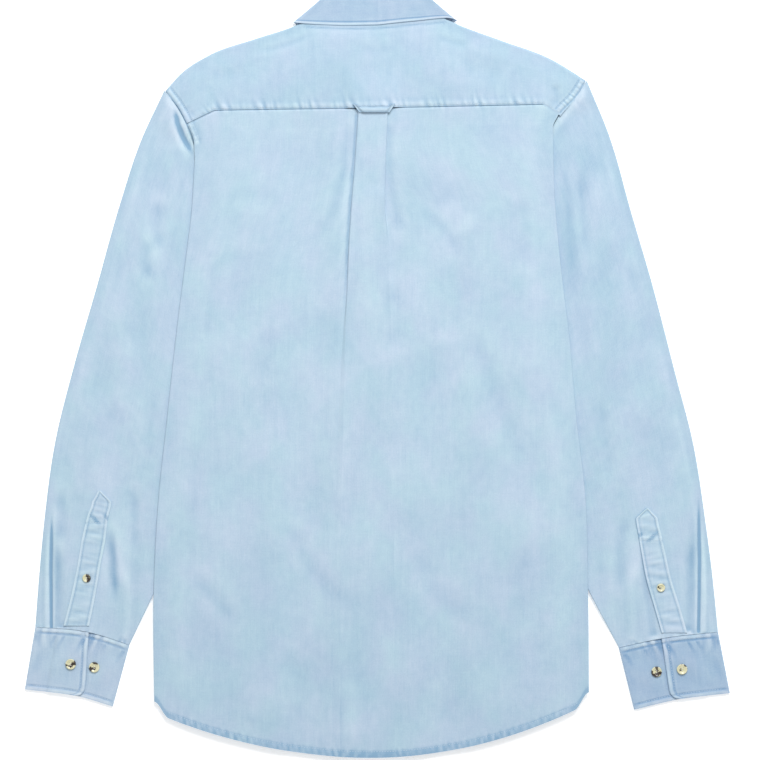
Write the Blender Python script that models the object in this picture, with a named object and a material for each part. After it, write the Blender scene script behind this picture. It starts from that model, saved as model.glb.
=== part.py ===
"""A long-sleeved denim shirt laid face down, buttoned, with its sleeves brought down beside it.

The shirt lies on the plane z = 0. +Y runs up the back to the collar, +X to the wearer's right
and +Z out of the back. The origin is on the plane, under the middle of the shirt's box.
Tables and sizes are in millimetres, and the meshes are in metres. "Out" is the distance from
the middle line towards a side, so one rule serves both sides.
"""

import math

import bmesh
import bpy
import numpy as np
from mathutils import Matrix

MM = 0.001
BOX_MIDDLE = (-0.15, -5.92)  # middle of the shirt's box in the tables, which the origin is under

# Cloth and layers
CLOTH = 1.0  # wall of one ply
GAP = 0.35  # air between two plies that touch
PITCH = CLOTH + GAP  # from one ply's middle to the next
SEAM_CLOSING_WIDTH = 9.0
SEAM_CLOSING = 1.2  # how far a tuck's free end comes towards the other panel's at the side seam
CUFF_CLOTH = 1.5  # a cuff is two plies with an interlining
SEAM = 0.35  # between two edges that are sewn together
EDGE_LEVEL = 6.9  # underside of the back where five plies lie under it
NECK_LEVEL = 4.5  # underside of the yoke along the shoulders and the neck
SLEEVE_LOW = 2 * PITCH  # underside of a sleeve that lies on a front and its tuck
SLEEVE_HIGH = SLEEVE_LOW + CLOTH + PITCH  # top of the same sleeve
SLEEVE_FILL = 2.4  # how far a sleeve's top stands above its folds
SLEEVE_GOES_UNDER = 2  # the row of a side's table where the sleeve is under the back
SLEEVE_BEND = np.radians((45, 0, -45))  # directions round a sleeve's fold
SAG = 2.1  # how far the back drops between its sides and its middle
SHOULDER_SLOPE = 70.0  # length over which the yoke comes down to the shoulder

# Body
LEFT, RIGHT = -1, 1
HEM_MIDDLE = -423.0
HEM_RISE = {LEFT: 48.0, RIGHT: 58.0}
HEM_CORNER = 12.0
TUCK_HEM_SLOPE = 0.35  # how steeply the hem goes on upwards along a tuck
BACK_SIDE_ENDS = {LEFT: (259.6, -363.0), RIGHT: (271.6, -353.0)}  # heights of a side edge's ends
FRONT_SIDE_LOW = -350.0
FRONT_SHORTER = 5.0
FRONT_NARROWER = 5.0
TUCK_RADIUS = 0.7
TUCK_COLUMNS, TUCK_BENDS = 3, 3
PLACKET_HALF = 16.0
LAP = 15.0
CENTRE_FRONT = -3.0
FRONT_SEAM = {LEFT: 258.0, RIGHT: 268.0}  # height of the armhole end of the yoke's front seam
FRONT_SEAM_NECK = (60.0, 336.0)  # the other end: distance out and height
FRONT_MIDDLE_COLUMNS = (60.0, 52.0, 42.0, 30.0, 18.0)  # distances out, over the placket's rise
FRONT_ROWS = (0, 0.035, 0.05, 0.065, 0.08, 0.15, 0.25, 0.4, 0.6, 0.8, 0.94, 1)
BACK_ROWS = (0, 0.035, 0.05, 0.065, 0.08, 0.12, 0.18, 0.24, 0.29, 0.36, 0.45, 0.56, 0.68, 0.8, 0.9, 0.965, 1)
BACK_COLUMNS = {LEFT: (0.15, 0.35, 0.57, 0.8), RIGHT: (0.2, 0.43, 0.65, 0.935)}  # shares from left

# Buttons: across, thick
CUFF_BUTTON = (11.4, 2.2)
SLEEVE_BUTTON = (9.0, 2.0)
FRONT_BUTTONS = 7
FRONT_BUTTON_TOP = 252.0
FRONT_BUTTON_STEP = 90.0
STAND_BUTTON_Y = 314.0
BUTTON_SIDES = 16

DENIM = ("denim", (0.53, 0.69, 0.82, 1.0), 0.9)
DENIM_TRIM = ("denim_trim", (0.45, 0.60, 0.76, 1.0), 0.9)
HORN = ("horn_button", (0.55, 0.47, 0.26, 1.0), 0.35)


def table(columns, *rows):
    """Turn rows of numbers into one array for each named column."""
    return dict(zip(columns.split(), np.array(rows, float).T))


# The back's side edge: height, distance out, width tucked under, turn of the tuck in degrees.
SIDE = {
    LEFT: table(
        "y out tuck turn",
        (262, 206.6, 1, 0),
        (240, 197.9, 1, 0),
        (228, 197.2, 0.6, 0),
        (221, 197.2, 0.6, 60),
        (214, 197.4, 0.6, 120),
        (207, 197.8, 0.8, 180),
        (160, 200.8, 30, 180),
        (120, 205.8, 56, 180),
        (84, 210.4, 92, 180),
        (40, 216, 88, 180),
        (-60, 227, 74, 180),
        (-147, 236.3, 62, 180),
        (-246, 241.4, 50, 180),
        (-375, 240.5, 36, 180),
    ),
    RIGHT: table(
        "y out tuck turn",
        (270, 191, 1, 0),
        (262, 189, 1, 0),
        (256, 189, 0.6, 0),
        (249, 189.2, 0.6, 60),
        (242, 189.3, 0.6, 120),
        (235, 189.4, 0.8, 180),
        (180, 191, 30, 180),
        (130, 195, 54, 180),
        (92, 199, 82, 180),
        (30, 206.6, 78, 180),
        (-60, 214.5, 66, 180),
        (-141, 223.9, 56, 180),
        (-246, 227, 46, 180),
        (-365, 228, 34, 180),
    ),
}

# The armhole seam, from the shoulder to the underarm.
ARMHOLE = {
    LEFT: table(
        "along out y",
        (0, 229.5, 296),
        (0.13, 215.5, 277.6),
        (0.22, 207.0, 262),
        (0.31, 198.4, 240),
        (0.45, 184, 204),
        (0.75, 150, 132),
        (1, 120, 80),
    ),
    RIGHT: table(
        "along out y",
        (0, 225.2, 307),
        (0.13, 211.5, 286.4),
        (0.22, 198.0, 272.5),
        (0.31, 187.2, 255),
        (0.45, 176, 220),
        (0.75, 146, 142),
        (1, 120, 88),
    ),
}

# A sleeve's outer and inner fold, from the armhole to the cuff.
SLEEVE = {
    LEFT: table(
        "along out y inner_out inner_y",
        (0, 229.5, 296, 120, 80),
        (0.08, 253, 247, 127, 55),
        (0.2, 277, 177, 138, 22),
        (0.36, 303, 85, 155, -30),
        (0.52, 328, -2, 173, -85),
        (0.68, 348.5, -86, 190, -135),
        (0.82, 359.5, -166, 211, -185),
        (0.93, 366, -238, 242, -248),
        (1, 369.2, -282.6, 268, -301.6),
    ),
    RIGHT: table(
        "along out y inner_out inner_y",
        (0, 225.2, 307, 120, 88),
        (0.08, 249, 250, 126, 60),
        (0.2, 273, 168, 137, 25),
        (0.36, 297, 86, 152, -30),
        (0.52, 321, -7, 168, -88),
        (0.68, 341.5, -88, 183, -138),
        (0.82, 354, -168, 203, -188),
        (0.93, 362.5, -236, 231, -250),
        (1, 367.6, -288, 260.7, -305),
    ),
}

SLEEVE_ROWS = (0, 0.03, 0.07, 0.12, 0.2, 0.3, 0.42, 0.55, 0.68, 0.8, 0.91, 1)

# A cuff's upper and lower edge, from its outer fold to its inner fold.
CUFF = {
    LEFT: table(
        "across out y low_out low_y",
        (0, 369.4, -283, 380.7, -350),
        (0.56, 312, -288.3, 325, -357),
        (1, 267.8, -302.4, 285.7, -368.5),
    ),
    RIGHT: table(
        "across out y low_out low_y",
        (0, 367.7, -288.4, 380.4, -354),
        (0.56, 307.5, -295, 323, -361),
        (1, 260.5, -305.4, 277, -372),
    ),
}
CUFF_LAP = {LEFT: (0.565, 0.655), RIGHT: (0.569, 0.623)}  # where the upper end stops, top and bottom
CUFF_CORNER = 12.0
CUFF_UNDER_END = 0.30  # share across where the under end stops
CUFF_STEP = (0.16, 0.215, 0.27)  # shares across, where the upper end rises from its fold
CUFF_ROWS = (0, 0.4, 0.8236, 0.89, 0.95, 1)
CUFF_BEND = np.radians((50, 0, -50))  # directions round a cuff's fold
CUFF_UPPER = 2 * CUFF_CLOTH + 2 * GAP + CUFF_CLOTH / 2  # middle of the overlapping end
CUFF_UNDER = CUFF_CLOTH + GAP + CUFF_CLOTH / 2  # middle of the ply below it
CUFF_WIDTH, CUFF_DEEP = 100.0, 68.0
CUFF_BUTTONS = table("across down", (0.44, 0.53), (0.695, 0.50))

# A sleeve's tower placket: height of the row, its middle, half its width.
TOWER = {
    LEFT: table(
        "y out half",
        (-135.5, 300, 1.5),
        (-147.5, 297.5, 10.5),
        (-163, 301.5, 11.5),
        (-190, 306.5, 13),
        (-215, 311, 12.5),
        (-245, 316.5, 13),
        (-281, 324.6, 14),
    ),
    RIGHT: table(
        "y out half",
        (-154.5, 290.6, 1.5),
        (-165, 290.2, 12),
        (-183, 293.5, 12.5),
        (-205, 297.8, 13.2),
        (-230, 303, 13.6),
        (-262, 312.5, 14),
        (-288.5, 320, 14),
    ),
}
TOWER_BUTTON = {LEFT: (313.5, -229.8), RIGHT: (305.5, -240)}

# The yoke's seam to the back, and the shoulder line with the back of the neck.
YOKE_SEAM = table(
    "x y",
    (-206.4, 260),
    (-176, 274.6),
    (20, 277.6),
    (178, 281),
    (191.5, 272),
)
SHOULDER = table(
    "x y",
    (-229.5, 296),
    (-214, 313),
    (-185, 332.5),
    (-130, 352.5),
    (-93, 364.3),
    (-77, 370.6),
    (-70, 372.4),
    (-40, 372.2),
    (0, 371.4),
    (40, 373.2),
    (65, 375.4),
    (72, 373.6),
    (90, 366),
    (133, 350.4),
    (190, 328.6),
    (212, 315.6),
    (225.2, 307),
)
NECK = (-77, 72)  # the collar's seam on the yoke runs between these

PLEAT_TOP = 278.0
# The box pleat: distance below the yoke, its two edges, turn of each fold, cloth in each fold.
PLEAT = table(
    "below left right turn run",
    (0, -20.5, 11.5, 180, 13),
    (60, -24.5, 9, 180, 13),
    (110, -28.5, 8, 180, 9),
    (150, -31, 11, 180, 4),
    (175, -32, 13, 130, 2),
    (200, -33, 14.5, 80, 1.5),
    (235, -35, 16, 40, 2.5),
    (300, -37, 17, 18, 4),
    (420, -40, 19, 5, 6),
    (705, -42, 20, 1, 8),
)

# The collar: how far round from the back's middle to the front's middle.
COLLAR = {
    LEFT: table(
        "round neck_out neck_y fold_out fold_y leaf_out leaf_y",
        (0, 0, 371.9, 0, 411, 0, 366.8),
        (0.25, 40, 372.9, 30, 410, 45, 366.4),
        (0.42, 71, 373, 53, 402, 84, 368.6),
        (0.5, 76, 372, 57, 397, 89.6, 369.6),
        (0.58, 74, 370.4, 56, 391, 88, 367.4),
        (0.66, 68, 350, 50, 376, 85, 348),
        (0.8, 44, 314, 33, 351, 73, 314),
        (1, 0, 297.6, 4, 329, 50, 284),
    ),
    RIGHT: table(
        "round neck_out neck_y fold_out fold_y leaf_out leaf_y",
        (0, 0, 371.9, 0, 411, 0, 366.8),
        (0.25, 38, 373.6, 28, 410, 40, 371),
        (0.42, 66, 375.9, 50, 402, 78, 374),
        (0.5, 71, 375, 54, 397, 84, 371.4),
        (0.58, 69, 373.4, 53, 391, 82, 369),
        (0.66, 64, 352, 48, 376, 79, 350),
        (0.8, 42, 315, 32, 351, 69, 315),
        (1, 0, 297.6, 4, 329, 48, 284),
    ),
}
ROUND = np.array((0, 0.13, 0.25, 0.34, 0.42, 0.45, 0.5, 0.55, 0.58, 0.66, 0.74, 0.82, 0.9, 1))
COLLAR_LOW = PITCH + CLOTH / 2  # middle of the stand's front ply
COLLAR_HIGH = NECK_LEVEL + CLOTH / 2  # middle of the stand's back ply
STAND_BUTTON_LIFT = 1.5
FRONT_NECK_GAP = 3.2  # the front's neck edge keeps this far below the stand's
NECK_BOW = 3.0  # how far the yoke's neck edge curves out between the shoulder and the front seam
COLLAR_CUSHION = 96.0  # the fronts lie on the collar's leaf within this reach of the neck

# The hanging loop on the yoke's seam
LOOP_TOP = (-26.5, 19.0, 281.0)  # left end, right end, height
LOOP_LOW = (-19.4, 13.0, 271.8)
LOOP_CLOTH = 1.4


def smooth(x):
    """Rise from 0 to 1 as x goes from 0 to 1, level at both ends."""
    x = np.clip(x, 0.0, 1.0)
    return x * x * (3.0 - 2.0 * x)


def along(rows, key, name, at):
    """Read one column of a table at a value of its key column, on a smooth curve."""
    knots, values = rows[key], rows[name]
    if knots[0] > knots[-1]:
        knots, values = knots[::-1], values[::-1]
    slopes = np.gradient(values, knots)
    at = np.clip(at, knots[0], knots[-1])
    i = np.clip(np.searchsorted(knots, at) - 1, 0, len(knots) - 2)
    span = knots[i + 1] - knots[i]
    t = (at - knots[i]) / span
    rise = t * t * (3 - 2 * t)
    start = (t**3 - 2 * t**2 + t) * span * slopes[i]
    end = (t**3 - t**2) * span * slopes[i + 1]
    return values[i] * (1 - rise) + values[i + 1] * rise + start + end


def straight(rows, key, name, at):
    """Read one column of a table at a value of its key column, on straight lines."""
    knots, values = rows[key], rows[name]
    if knots[0] > knots[-1]:
        knots, values = knots[::-1], values[::-1]
    return np.interp(at, knots, values)


# Heights of the layers


def back_level(x, y):
    """Height of the underside of the back's and the yoke's upper ply at a place."""
    side = np.abs(x + 4)
    valley = smooth((side - 34) / 32) * smooth((110 - side) / 30)
    level = EDGE_LEVEL - SAG * valley * smooth((300 - y) / 60)
    from_shoulder = along(SHOULDER, "x", "y", x) - y
    return level - (level - NECK_LEVEL) * smooth(1 - from_shoulder / SHOULDER_SLOPE)


def pleat_hump(x, y):
    """How far the yoke rises over the pleat's three plies, near its seam."""
    away = np.abs(x + 4.5)
    return 2 * PITCH * smooth((34 - away) / 14) * smooth((322 - y) / 36)


def front_level(x, y):
    """Height of the underside of a front, which lies on the plane away from the collar and placket."""
    from_neck = np.hypot(x, y - 345)
    collar = PITCH * smooth((COLLAR_CUSHION + 18 - from_neck) / 18)
    from_placket = np.abs(x - CENTRE_FRONT)
    placket = (CUFF_BUTTON[1] + GAP + PITCH) * smooth((PLACKET_HALF + 28 - from_placket) / 24)
    return np.maximum(collar, placket)


def edge_out(side, y):
    """Distance out of the body's side edge at a height."""
    return along(SIDE[side], "y", "out", y)


def sleeve_heights(side, out, y):
    """Underside and top of a sleeve at a place."""
    from_outer = along(SLEEVE[side], "y", "out", y) - out
    from_inner = out - along(SLEEVE[side], "inner_y", "inner_out", y)
    own = 2 * CLOTH + GAP + SLEEVE_FILL * smooth(from_outer / 50) * smooth(from_inner / 50)
    tuck_start = SIDE[side]["y"][SLEEVE_GOES_UNDER]
    pocket = smooth((edge_out(side, y) + 30 - out) / 18) * smooth((tuck_start + 12 - y) / 14)
    low = SLEEVE_LOW * pocket
    top = own + (SLEEVE_HIGH - own) * pocket
    from_seam = out - along(ARMHOLE[side], "y", "out", y)
    near = smooth(1 - from_seam / 40) * smooth((y - tuck_start - 8) / 26)
    seam = back_level(out * side, y) + CLOTH
    return low, top + (seam - top) * near


# Meshes


def in_frame(x, y, z):
    """Turn a place in the tables into metres from the origin."""
    return (x - BOX_MIDDLE[0]) * MM, (y - BOX_MIDDLE[1]) * MM, z * MM


def wall(name, outer, inner, finish, ring=False, keep=None):
    """Make one closed wall between two grids of points, which are rows by columns by 3.

    The columns close on themselves when ring is true, and keep says which cells are cloth.
    """
    rows, columns = outer.shape[:2]
    cells = (rows - 1, columns if ring else columns - 1)
    keep = np.ones(cells, bool) if keep is None else keep
    mesh = bmesh.new()
    made = {}

    def corner(layer, r, c):
        key = (layer, r, c % columns)
        if key not in made:
            x, y, z = (outer, inner)[layer][r, c % columns]
            made[key] = mesh.verts.new(in_frame(x, y, z))
        return made[key]

    def cell_kept(r, c):
        if ring:
            c %= cells[1]
        return 0 <= r < cells[0] and 0 <= c < cells[1] and keep[r, c]

    def quad(a, b, c, d):
        mesh.faces.new((a, b, c))
        mesh.faces.new((a, c, d))

    for r in range(cells[0]):
        for c in range(cells[1]):
            if not cell_kept(r, c):
                continue
            around = ((r, c), (r, c + 1), (r + 1, c + 1), (r + 1, c))
            quad(*(corner(0, *p) for p in around))
            a, b, d, e = (corner(1, *p) for p in around)
            mesh.faces.new((a, d, b))
            mesh.faces.new((a, e, d))
            beyond = ((r - 1, c), (r, c + 1), (r + 1, c), (r, c - 1))
            for k in range(4):
                if not cell_kept(*beyond[k]):
                    p, q = around[k], around[(k + 1) % 4]
                    quad(corner(0, *q), corner(0, *p), corner(1, *p), corner(1, *q))
    bmesh.ops.recalc_face_normals(mesh, faces=mesh.faces)
    return add(name, mesh, finish)


def add(name, mesh, finish):
    """Put a bmesh into the scene as a named object with its own material."""
    data = bpy.data.meshes.new(name)
    mesh.to_mesh(data)
    mesh.free()
    data.shade_smooth()
    piece = bpy.data.objects.new(name, data)
    bpy.context.collection.objects.link(piece)
    data.materials.append(material(*finish))
    return piece


def material(name, colour, roughness):
    """Return the named material, made on first use."""
    made = bpy.data.materials.get(name)
    if made is None:
        made = bpy.data.materials.new(name)
        made.use_nodes = True
        shader = made.node_tree.nodes["Principled BSDF"]
        shader.inputs["Base Color"].default_value = colour
        shader.inputs["Roughness"].default_value = roughness
        shader.inputs["Metallic"].default_value = 0.0
    return made


def walk(steps, heading=0.0):
    """Follow runs and arcs in a plane from the origin, and return points and headings.

    A step is (length, turn, parts): a run where turn is 0, and otherwise an arc that turns by
    that angle over that length. Each step adds its parts' end points.
    """
    points, headings = [(0.0, 0.0)], [heading]
    for length, turn, parts in steps:
        for _ in range(parts):
            middle = headings[-1] + turn / parts / 2
            x, z = points[-1]
            chord = length / parts
            points.append((x + chord * math.cos(middle), z + chord * math.sin(middle)))
            headings.append(headings[-1] + turn / parts)
    return np.array(points), np.array(headings)


# Pieces


def side_end(side, y, inset=0.0):
    """A panel's tucked edge at a height, in distances out, from its free end inwards."""
    turn = math.radians(float(straight(SIDE[side], "y", "turn", y)))
    tuck = float(straight(SIDE[side], "y", "tuck", y))
    arc = max(TUCK_RADIUS * turn, 0.6)
    seam_side = min(SEAM_CLOSING_WIDTH, tuck / 2)
    tuck = max(tuck - inset, 1.2 * seam_side)
    points, headings = walk([(seam_side, 0.0, 1), (tuck - seam_side, 0.0, 1), (arc, -turn, TUCK_BENDS)], turn)
    points[0, 1] -= SEAM_CLOSING * smooth((-10 - y) / 40)
    outermost = edge_out(side, y) - inset - CLOTH / 2 * math.sin(min(turn, math.pi / 2))
    return points + (-outermost - points[:, 0].min(), -points[-1, 1]), headings


def pleat_side(edge, turn, run):
    """One side of the box pleat, rising to its strip, whose edge is at a distance out."""
    turn = math.radians(turn)
    arc = max(PITCH / 2 * turn, 0.5)
    points, headings = walk([(arc, turn, 3), (run, 0.0, 1), (arc, -turn, 3)])
    return points + (-edge + PITCH - points[-1, 0], 0), headings


def mirrored(points, headings):
    """The same path seen from the other side, walked the other way."""
    return points[::-1] * (-1, 1), -headings[::-1]


def join(paths):
    """Join paths across a panel, with columns between them at the given shares of each run."""
    points, headings = list(paths[0][0]), list(paths[0][1])
    for shares, (more, turned) in zip(paths[1::2], paths[2::2]):
        start = points[-1]
        points += [start + (more[0] - start) * share for share in shares] + list(more)
        headings += [0.0] * len(shares) + list(turned)
    return np.array(points), np.array(headings)


def hem_y(x, left, right):
    """Height of the shirt-tail hem at places across a panel between two edges."""
    middle = (left + right) / 2
    q = np.clip(np.abs(x - middle) / ((right - left) / 2), 0, 1)
    rise = np.where(x < middle, HEM_RISE[LEFT], HEM_RISE[RIGHT])
    return HEM_MIDDLE + rise * q**2 + HEM_CORNER * smooth((q - 0.94) / 0.06)


def tucked_hem(y, points, ends):
    """Carry the hem on upwards along a tuck, as far as it goes back in from the side fold."""
    for chosen, fold in ends:
        y[chosen] += TUCK_HEM_SLOPE * np.abs(points[chosen, 0] - fold)
    return y


def build_back():
    """The back: a flat panel with both sides tucked under and a box pleat below the yoke."""
    free = TUCK_COLUMNS
    outer, inner = [], []
    for v in BACK_ROWS:
        ends = {}
        for side, (top, low) in BACK_SIDE_ENDS.items():
            ends[side] = side_end(side, top * (1 - v) + low * v)
        below = v * (PLEAT_TOP - HEM_MIDDLE)
        fold = {k: float(straight(PLEAT, "below", k, below)) for k in PLEAT}
        left_pleat = pleat_side(-fold["left"], fold["turn"], fold["run"])
        right_pleat = mirrored(*pleat_side(fold["right"], fold["turn"], fold["run"]))
        strip = left_pleat[0][-1][1]
        right_pleat[0][:, 1] += strip - right_pleat[0][0, 1]
        points, headings = join([
            ends[LEFT], BACK_COLUMNS[LEFT], left_pleat, (0.5,), right_pleat,
            BACK_COLUMNS[RIGHT], mirrored(*ends[RIGHT]),
        ])
        left, right = ends[LEFT][0][-1, 0], -ends[RIGHT][0][-1, 0]
        share = np.clip((points[:, 0] - left) / (right - left), 0, 1)
        seam = straight(YOKE_SEAM, "x", "y", YOKE_SEAM["x"][0] * (1 - share) + YOKE_SEAM["x"][-1] * share)
        tail = tucked_hem(
            hem_y(points[:, 0], left, right), points, ((slice(0, free), left), (slice(-free, None), right))
        )
        y = (seam - 2 * SEAM) * (1 - v) + tail * v
        normal = np.stack([-np.sin(headings), np.cos(headings)], axis=1) * CLOTH / 2
        height = back_level(points[:, 0], y) + CLOTH / 2
        for face, moved in ((outer, points + normal), (inner, points - normal)):
            face.append(np.stack([moved[:, 0], y, moved[:, 1] + height], axis=1))
    wall("back", np.array(outer), np.array(inner), DENIM)


def front_top(side, out):
    """Height of a front's upper edge: the collar's seam, then the seam to the yoke."""
    neck_out, neck_y = FRONT_SEAM_NECK
    armhole_y = FRONT_SEAM[side]
    armhole_out = float(along(ARMHOLE[side], "y", "out", armhole_y))
    seam = neck_y + (armhole_y - neck_y) * (out - neck_out) / (armhole_out - neck_out)
    half = COLLAR[side]["round"] > 0.6
    neck = {k: v[half] for k, v in COLLAR[side].items()}
    return np.where(out < neck_out, along(neck, "neck_out", "neck_y", out) - FRONT_NECK_GAP, seam - SEAM)


def build_front(side, name, overlap, lift):
    """One front: it lies on the plane, and its side is tucked up under the sleeve.

    Its middle edge laps over the centre, and lift raises that part onto the other front.
    """
    free = TUCK_COLUMNS
    outer, inner = [], []
    for v in FRONT_ROWS:
        y_side = FRONT_SEAM[side] * (1 - v) + FRONT_SIDE_LOW * v
        tuck_start = SIDE[side]["y"][SLEEVE_GOES_UNDER]
        end, headings = side_end(side, y_side, FRONT_NARROWER * smooth((tuck_start + 10 - y_side) / 20))
        end[:, 1] *= -1
        headings = -headings
        middle = np.array([(-out, 0.0) for out in FRONT_MIDDLE_COLUMNS] + [(overlap, 0.0)])
        run = np.linspace(end[-1], middle[0], 5)[1:-1]
        points = np.concatenate([end, run, middle])
        headings = np.concatenate([headings, np.zeros(len(run) + len(middle))])
        fold = end[-1, 0]
        out = np.clip(-points[:, 0], 0, -fold)
        neck_out = FRONT_SEAM_NECK[0]
        ends_out = float(along(ARMHOLE[side], "y", "out", FRONT_SEAM[side]))
        stretch = (ends_out - neck_out) / (-fold - neck_out)
        top = front_top(side, np.where(out > neck_out, neck_out + (out - neck_out) * stretch, out))
        width = -fold
        tail = HEM_MIDDLE + FRONT_SHORTER + (HEM_RISE[side] + 4) * (out / width) ** 2
        tail = tucked_hem(tail, points, ((slice(0, free), fold),))
        y = top * (1 - v) + tail * v
        x = -side * points[:, 0]
        over = smooth((PLACKET_HALF + 28 - np.abs(x - CENTRE_FRONT)) / 24)
        normal = np.stack([-np.sin(headings), np.cos(headings)], axis=1) * CLOTH / 2
        height = front_level(x, y) + lift * over + CLOTH / 2
        for face, moved in ((outer, points - normal), (inner, points + normal)):
            face.append(np.stack([-side * moved[:, 0], y, moved[:, 1] + height], axis=1))
    wall(name, np.array(outer), np.array(inner), DENIM)


def strip_wall(name, x, y, low, thick, finish):
    """A flat strip of cloth over a grid of places, from its underside upwards."""
    upper = np.stack([x, y, low + thick], axis=2)
    lower = np.stack([x, y, low], axis=2)
    return wall(name, upper, lower, finish)


def build_front_placket():
    """The button band on the left front's outer face, which lies lowest, over the buttons."""
    top = front_top(LEFT, np.array([8.0]))[0] - 2
    y = np.linspace(top, HEM_MIDDLE + FRONT_SHORTER + 1, 12)[:, None] + np.zeros((1, 3))
    x = CENTRE_FRONT + PLACKET_HALF * np.array([[-1.0, 0.0, 1.0]]) + np.zeros_like(y)
    strip_wall("front_placket", x, y, np.full_like(y, CUFF_BUTTON[1] + GAP - 0.05), CLOTH, DENIM)


def to_armhole(side, x, y):
    """How far out a row across the yoke has to stretch at its two ends to reach the armholes."""
    left = along(ARMHOLE[LEFT], "y", "out", y[0]) + x[0]
    right = along(ARMHOLE[RIGHT], "y", "out", y[-1]) - x[-1]
    return np.where(side == LEFT, left, right) - SEAM


def build_yoke():
    """The yoke: the upper back, folded over both shoulders to its seams with the fronts."""
    left_end, right_end = SHOULDER["x"][0], SHOULDER["x"][-1]
    shoulder_x = np.concatenate([
        left_end + (NECK[0] - left_end) * np.array((0, 0.21, 0.42, 0.62, 0.81, 1)),
        np.linspace(*NECK, 7)[1:-1],
        NECK[1] + (right_end - NECK[1]) * np.array((0, 0.22, 0.45, 0.68, 0.9, 1)),
    ])
    at_neck = (shoulder_x > NECK[0] - 1e-6) & (shoulder_x < NECK[1] + 1e-6)
    knots = (SHOULDER["x"][0], NECK[0], NECK[1], SHOULDER["x"][-1])
    seam_x = np.interp(shoulder_x, knots, (YOKE_SEAM["x"][0], -62, 57, YOKE_SEAM["x"][-1]))
    seam_y = straight(YOKE_SEAM, "x", "y", seam_x)
    shoulder_y = along(SHOULDER, "x", "y", shoulder_x)
    side = np.where(shoulder_x < 0, LEFT, RIGHT)
    low = front_level(shoulder_x, shoulder_y)
    radius = (NECK_LEVEL - low) / 2
    rim = np.where(at_neck, 0.0, radius + CLOTH / 2)
    edge_weight = smooth(1 - np.minimum(shoulder_x - left_end, right_end - shoulder_x) / 40)
    rows = []  # place of the ply's middle, and the way out of it in y and z
    for v in np.linspace(0, 1, 6):
        x = seam_x * (1 - v) + shoulder_x * v
        y = seam_y * (1 - v) + (shoulder_y - rim) * v
        x = x + side * to_armhole(side, x, y) * edge_weight
        z = back_level(x, y) + pleat_hump(x, y) + CLOTH / 2
        rows.append((x, y, z, np.zeros_like(x), np.ones_like(x)))
    x, y, z = rows[-1][:3]
    for angle in np.radians((45, 90, 135, 180)):
        rows.append((x, y + radius * np.sin(angle), z - radius * (1 - np.cos(angle)),
                     np.full_like(x, np.sin(angle)), np.full_like(x, np.cos(angle))))
    low_y = rows[-1][1]
    ends_out = [along(ARMHOLE[k], "y", "out", FRONT_SEAM[k]) for k in (LEFT, RIGHT)]
    armhole_out = np.where(side == LEFT, *ends_out)
    neck_out = FRONT_SEAM_NECK[0] + 2 * SEAM
    from_neck = np.abs(x) - np.where(side == LEFT, -NECK[0], NECK[1])
    share = np.clip(from_neck / np.where(side == LEFT, from_neck[0], from_neck[-1]), 0, 1)
    front_out = neck_out + (armhole_out - neck_out) * share
    front_y = np.where(side == LEFT, front_top(LEFT, front_out), front_top(RIGHT, front_out)) + 2 * SEAM
    for v in (0.33, 0.66, 1):
        row_y = low_y * (1 - v) + front_y * v
        row_out = np.abs(x) * (1 - v) + front_out * v + NECK_BOW * math.sin(math.pi * v) * (from_neck < 1)
        row_x = side * row_out
        row_x = row_x + side * to_armhole(side, row_x, row_y) * edge_weight
        rows.append((row_x, row_y, front_level(row_x, row_y) + CLOTH / 2,
                     np.zeros_like(x), -np.ones_like(x)))
    grid = np.array(rows)
    place, way = grid[:, :3], grid[:, 3:]
    shift = np.stack([np.zeros_like(way[:, 0]), way[:, 0], way[:, 1]], axis=1) * CLOTH / 2
    keep = np.ones((len(rows) - 1, len(x) - 1), bool)
    keep[5:, at_neck[:-1] & at_neck[1:]] = False
    wall("yoke", (place + shift).transpose(0, 2, 1), (place - shift).transpose(0, 2, 1), DENIM, keep=keep)


def sleeve_plan(side, s, across):
    """Distance out and height of points across a sleeve, at a share of the way down it."""
    row = {k: float(along(SLEEVE[side], "along", k, s)) for k in SLEEVE[side]}
    first = {k: SLEEVE[side][k][0] for k in SLEEVE[side]}
    last = {k: SLEEVE[side][k][-1] for k in SLEEVE[side]}
    near_top, near_cuff = max(0.0, 1 - s / 0.3) ** 2, max(0.0, (s - 0.8) / 0.2) ** 2
    places = []
    for outer, inner, armhole, cuff in (("out", "inner_out", "out", "out"), ("y", "inner_y", "y", "y")):
        chord = row[outer] + (row[inner] - row[outer]) * across
        top = along(ARMHOLE[side], "along", armhole, across)
        top = top - first[outer] - (first[inner] - first[outer]) * across
        low = along(CUFF[side], "across", cuff, across)
        low = low - last[outer] - (last[inner] - last[outer]) * across
        places.append(chord + near_top * top + near_cuff * low)
    return places[0] + 2 * SEAM * near_top, places[1] + SEAM * near_cuff


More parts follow.
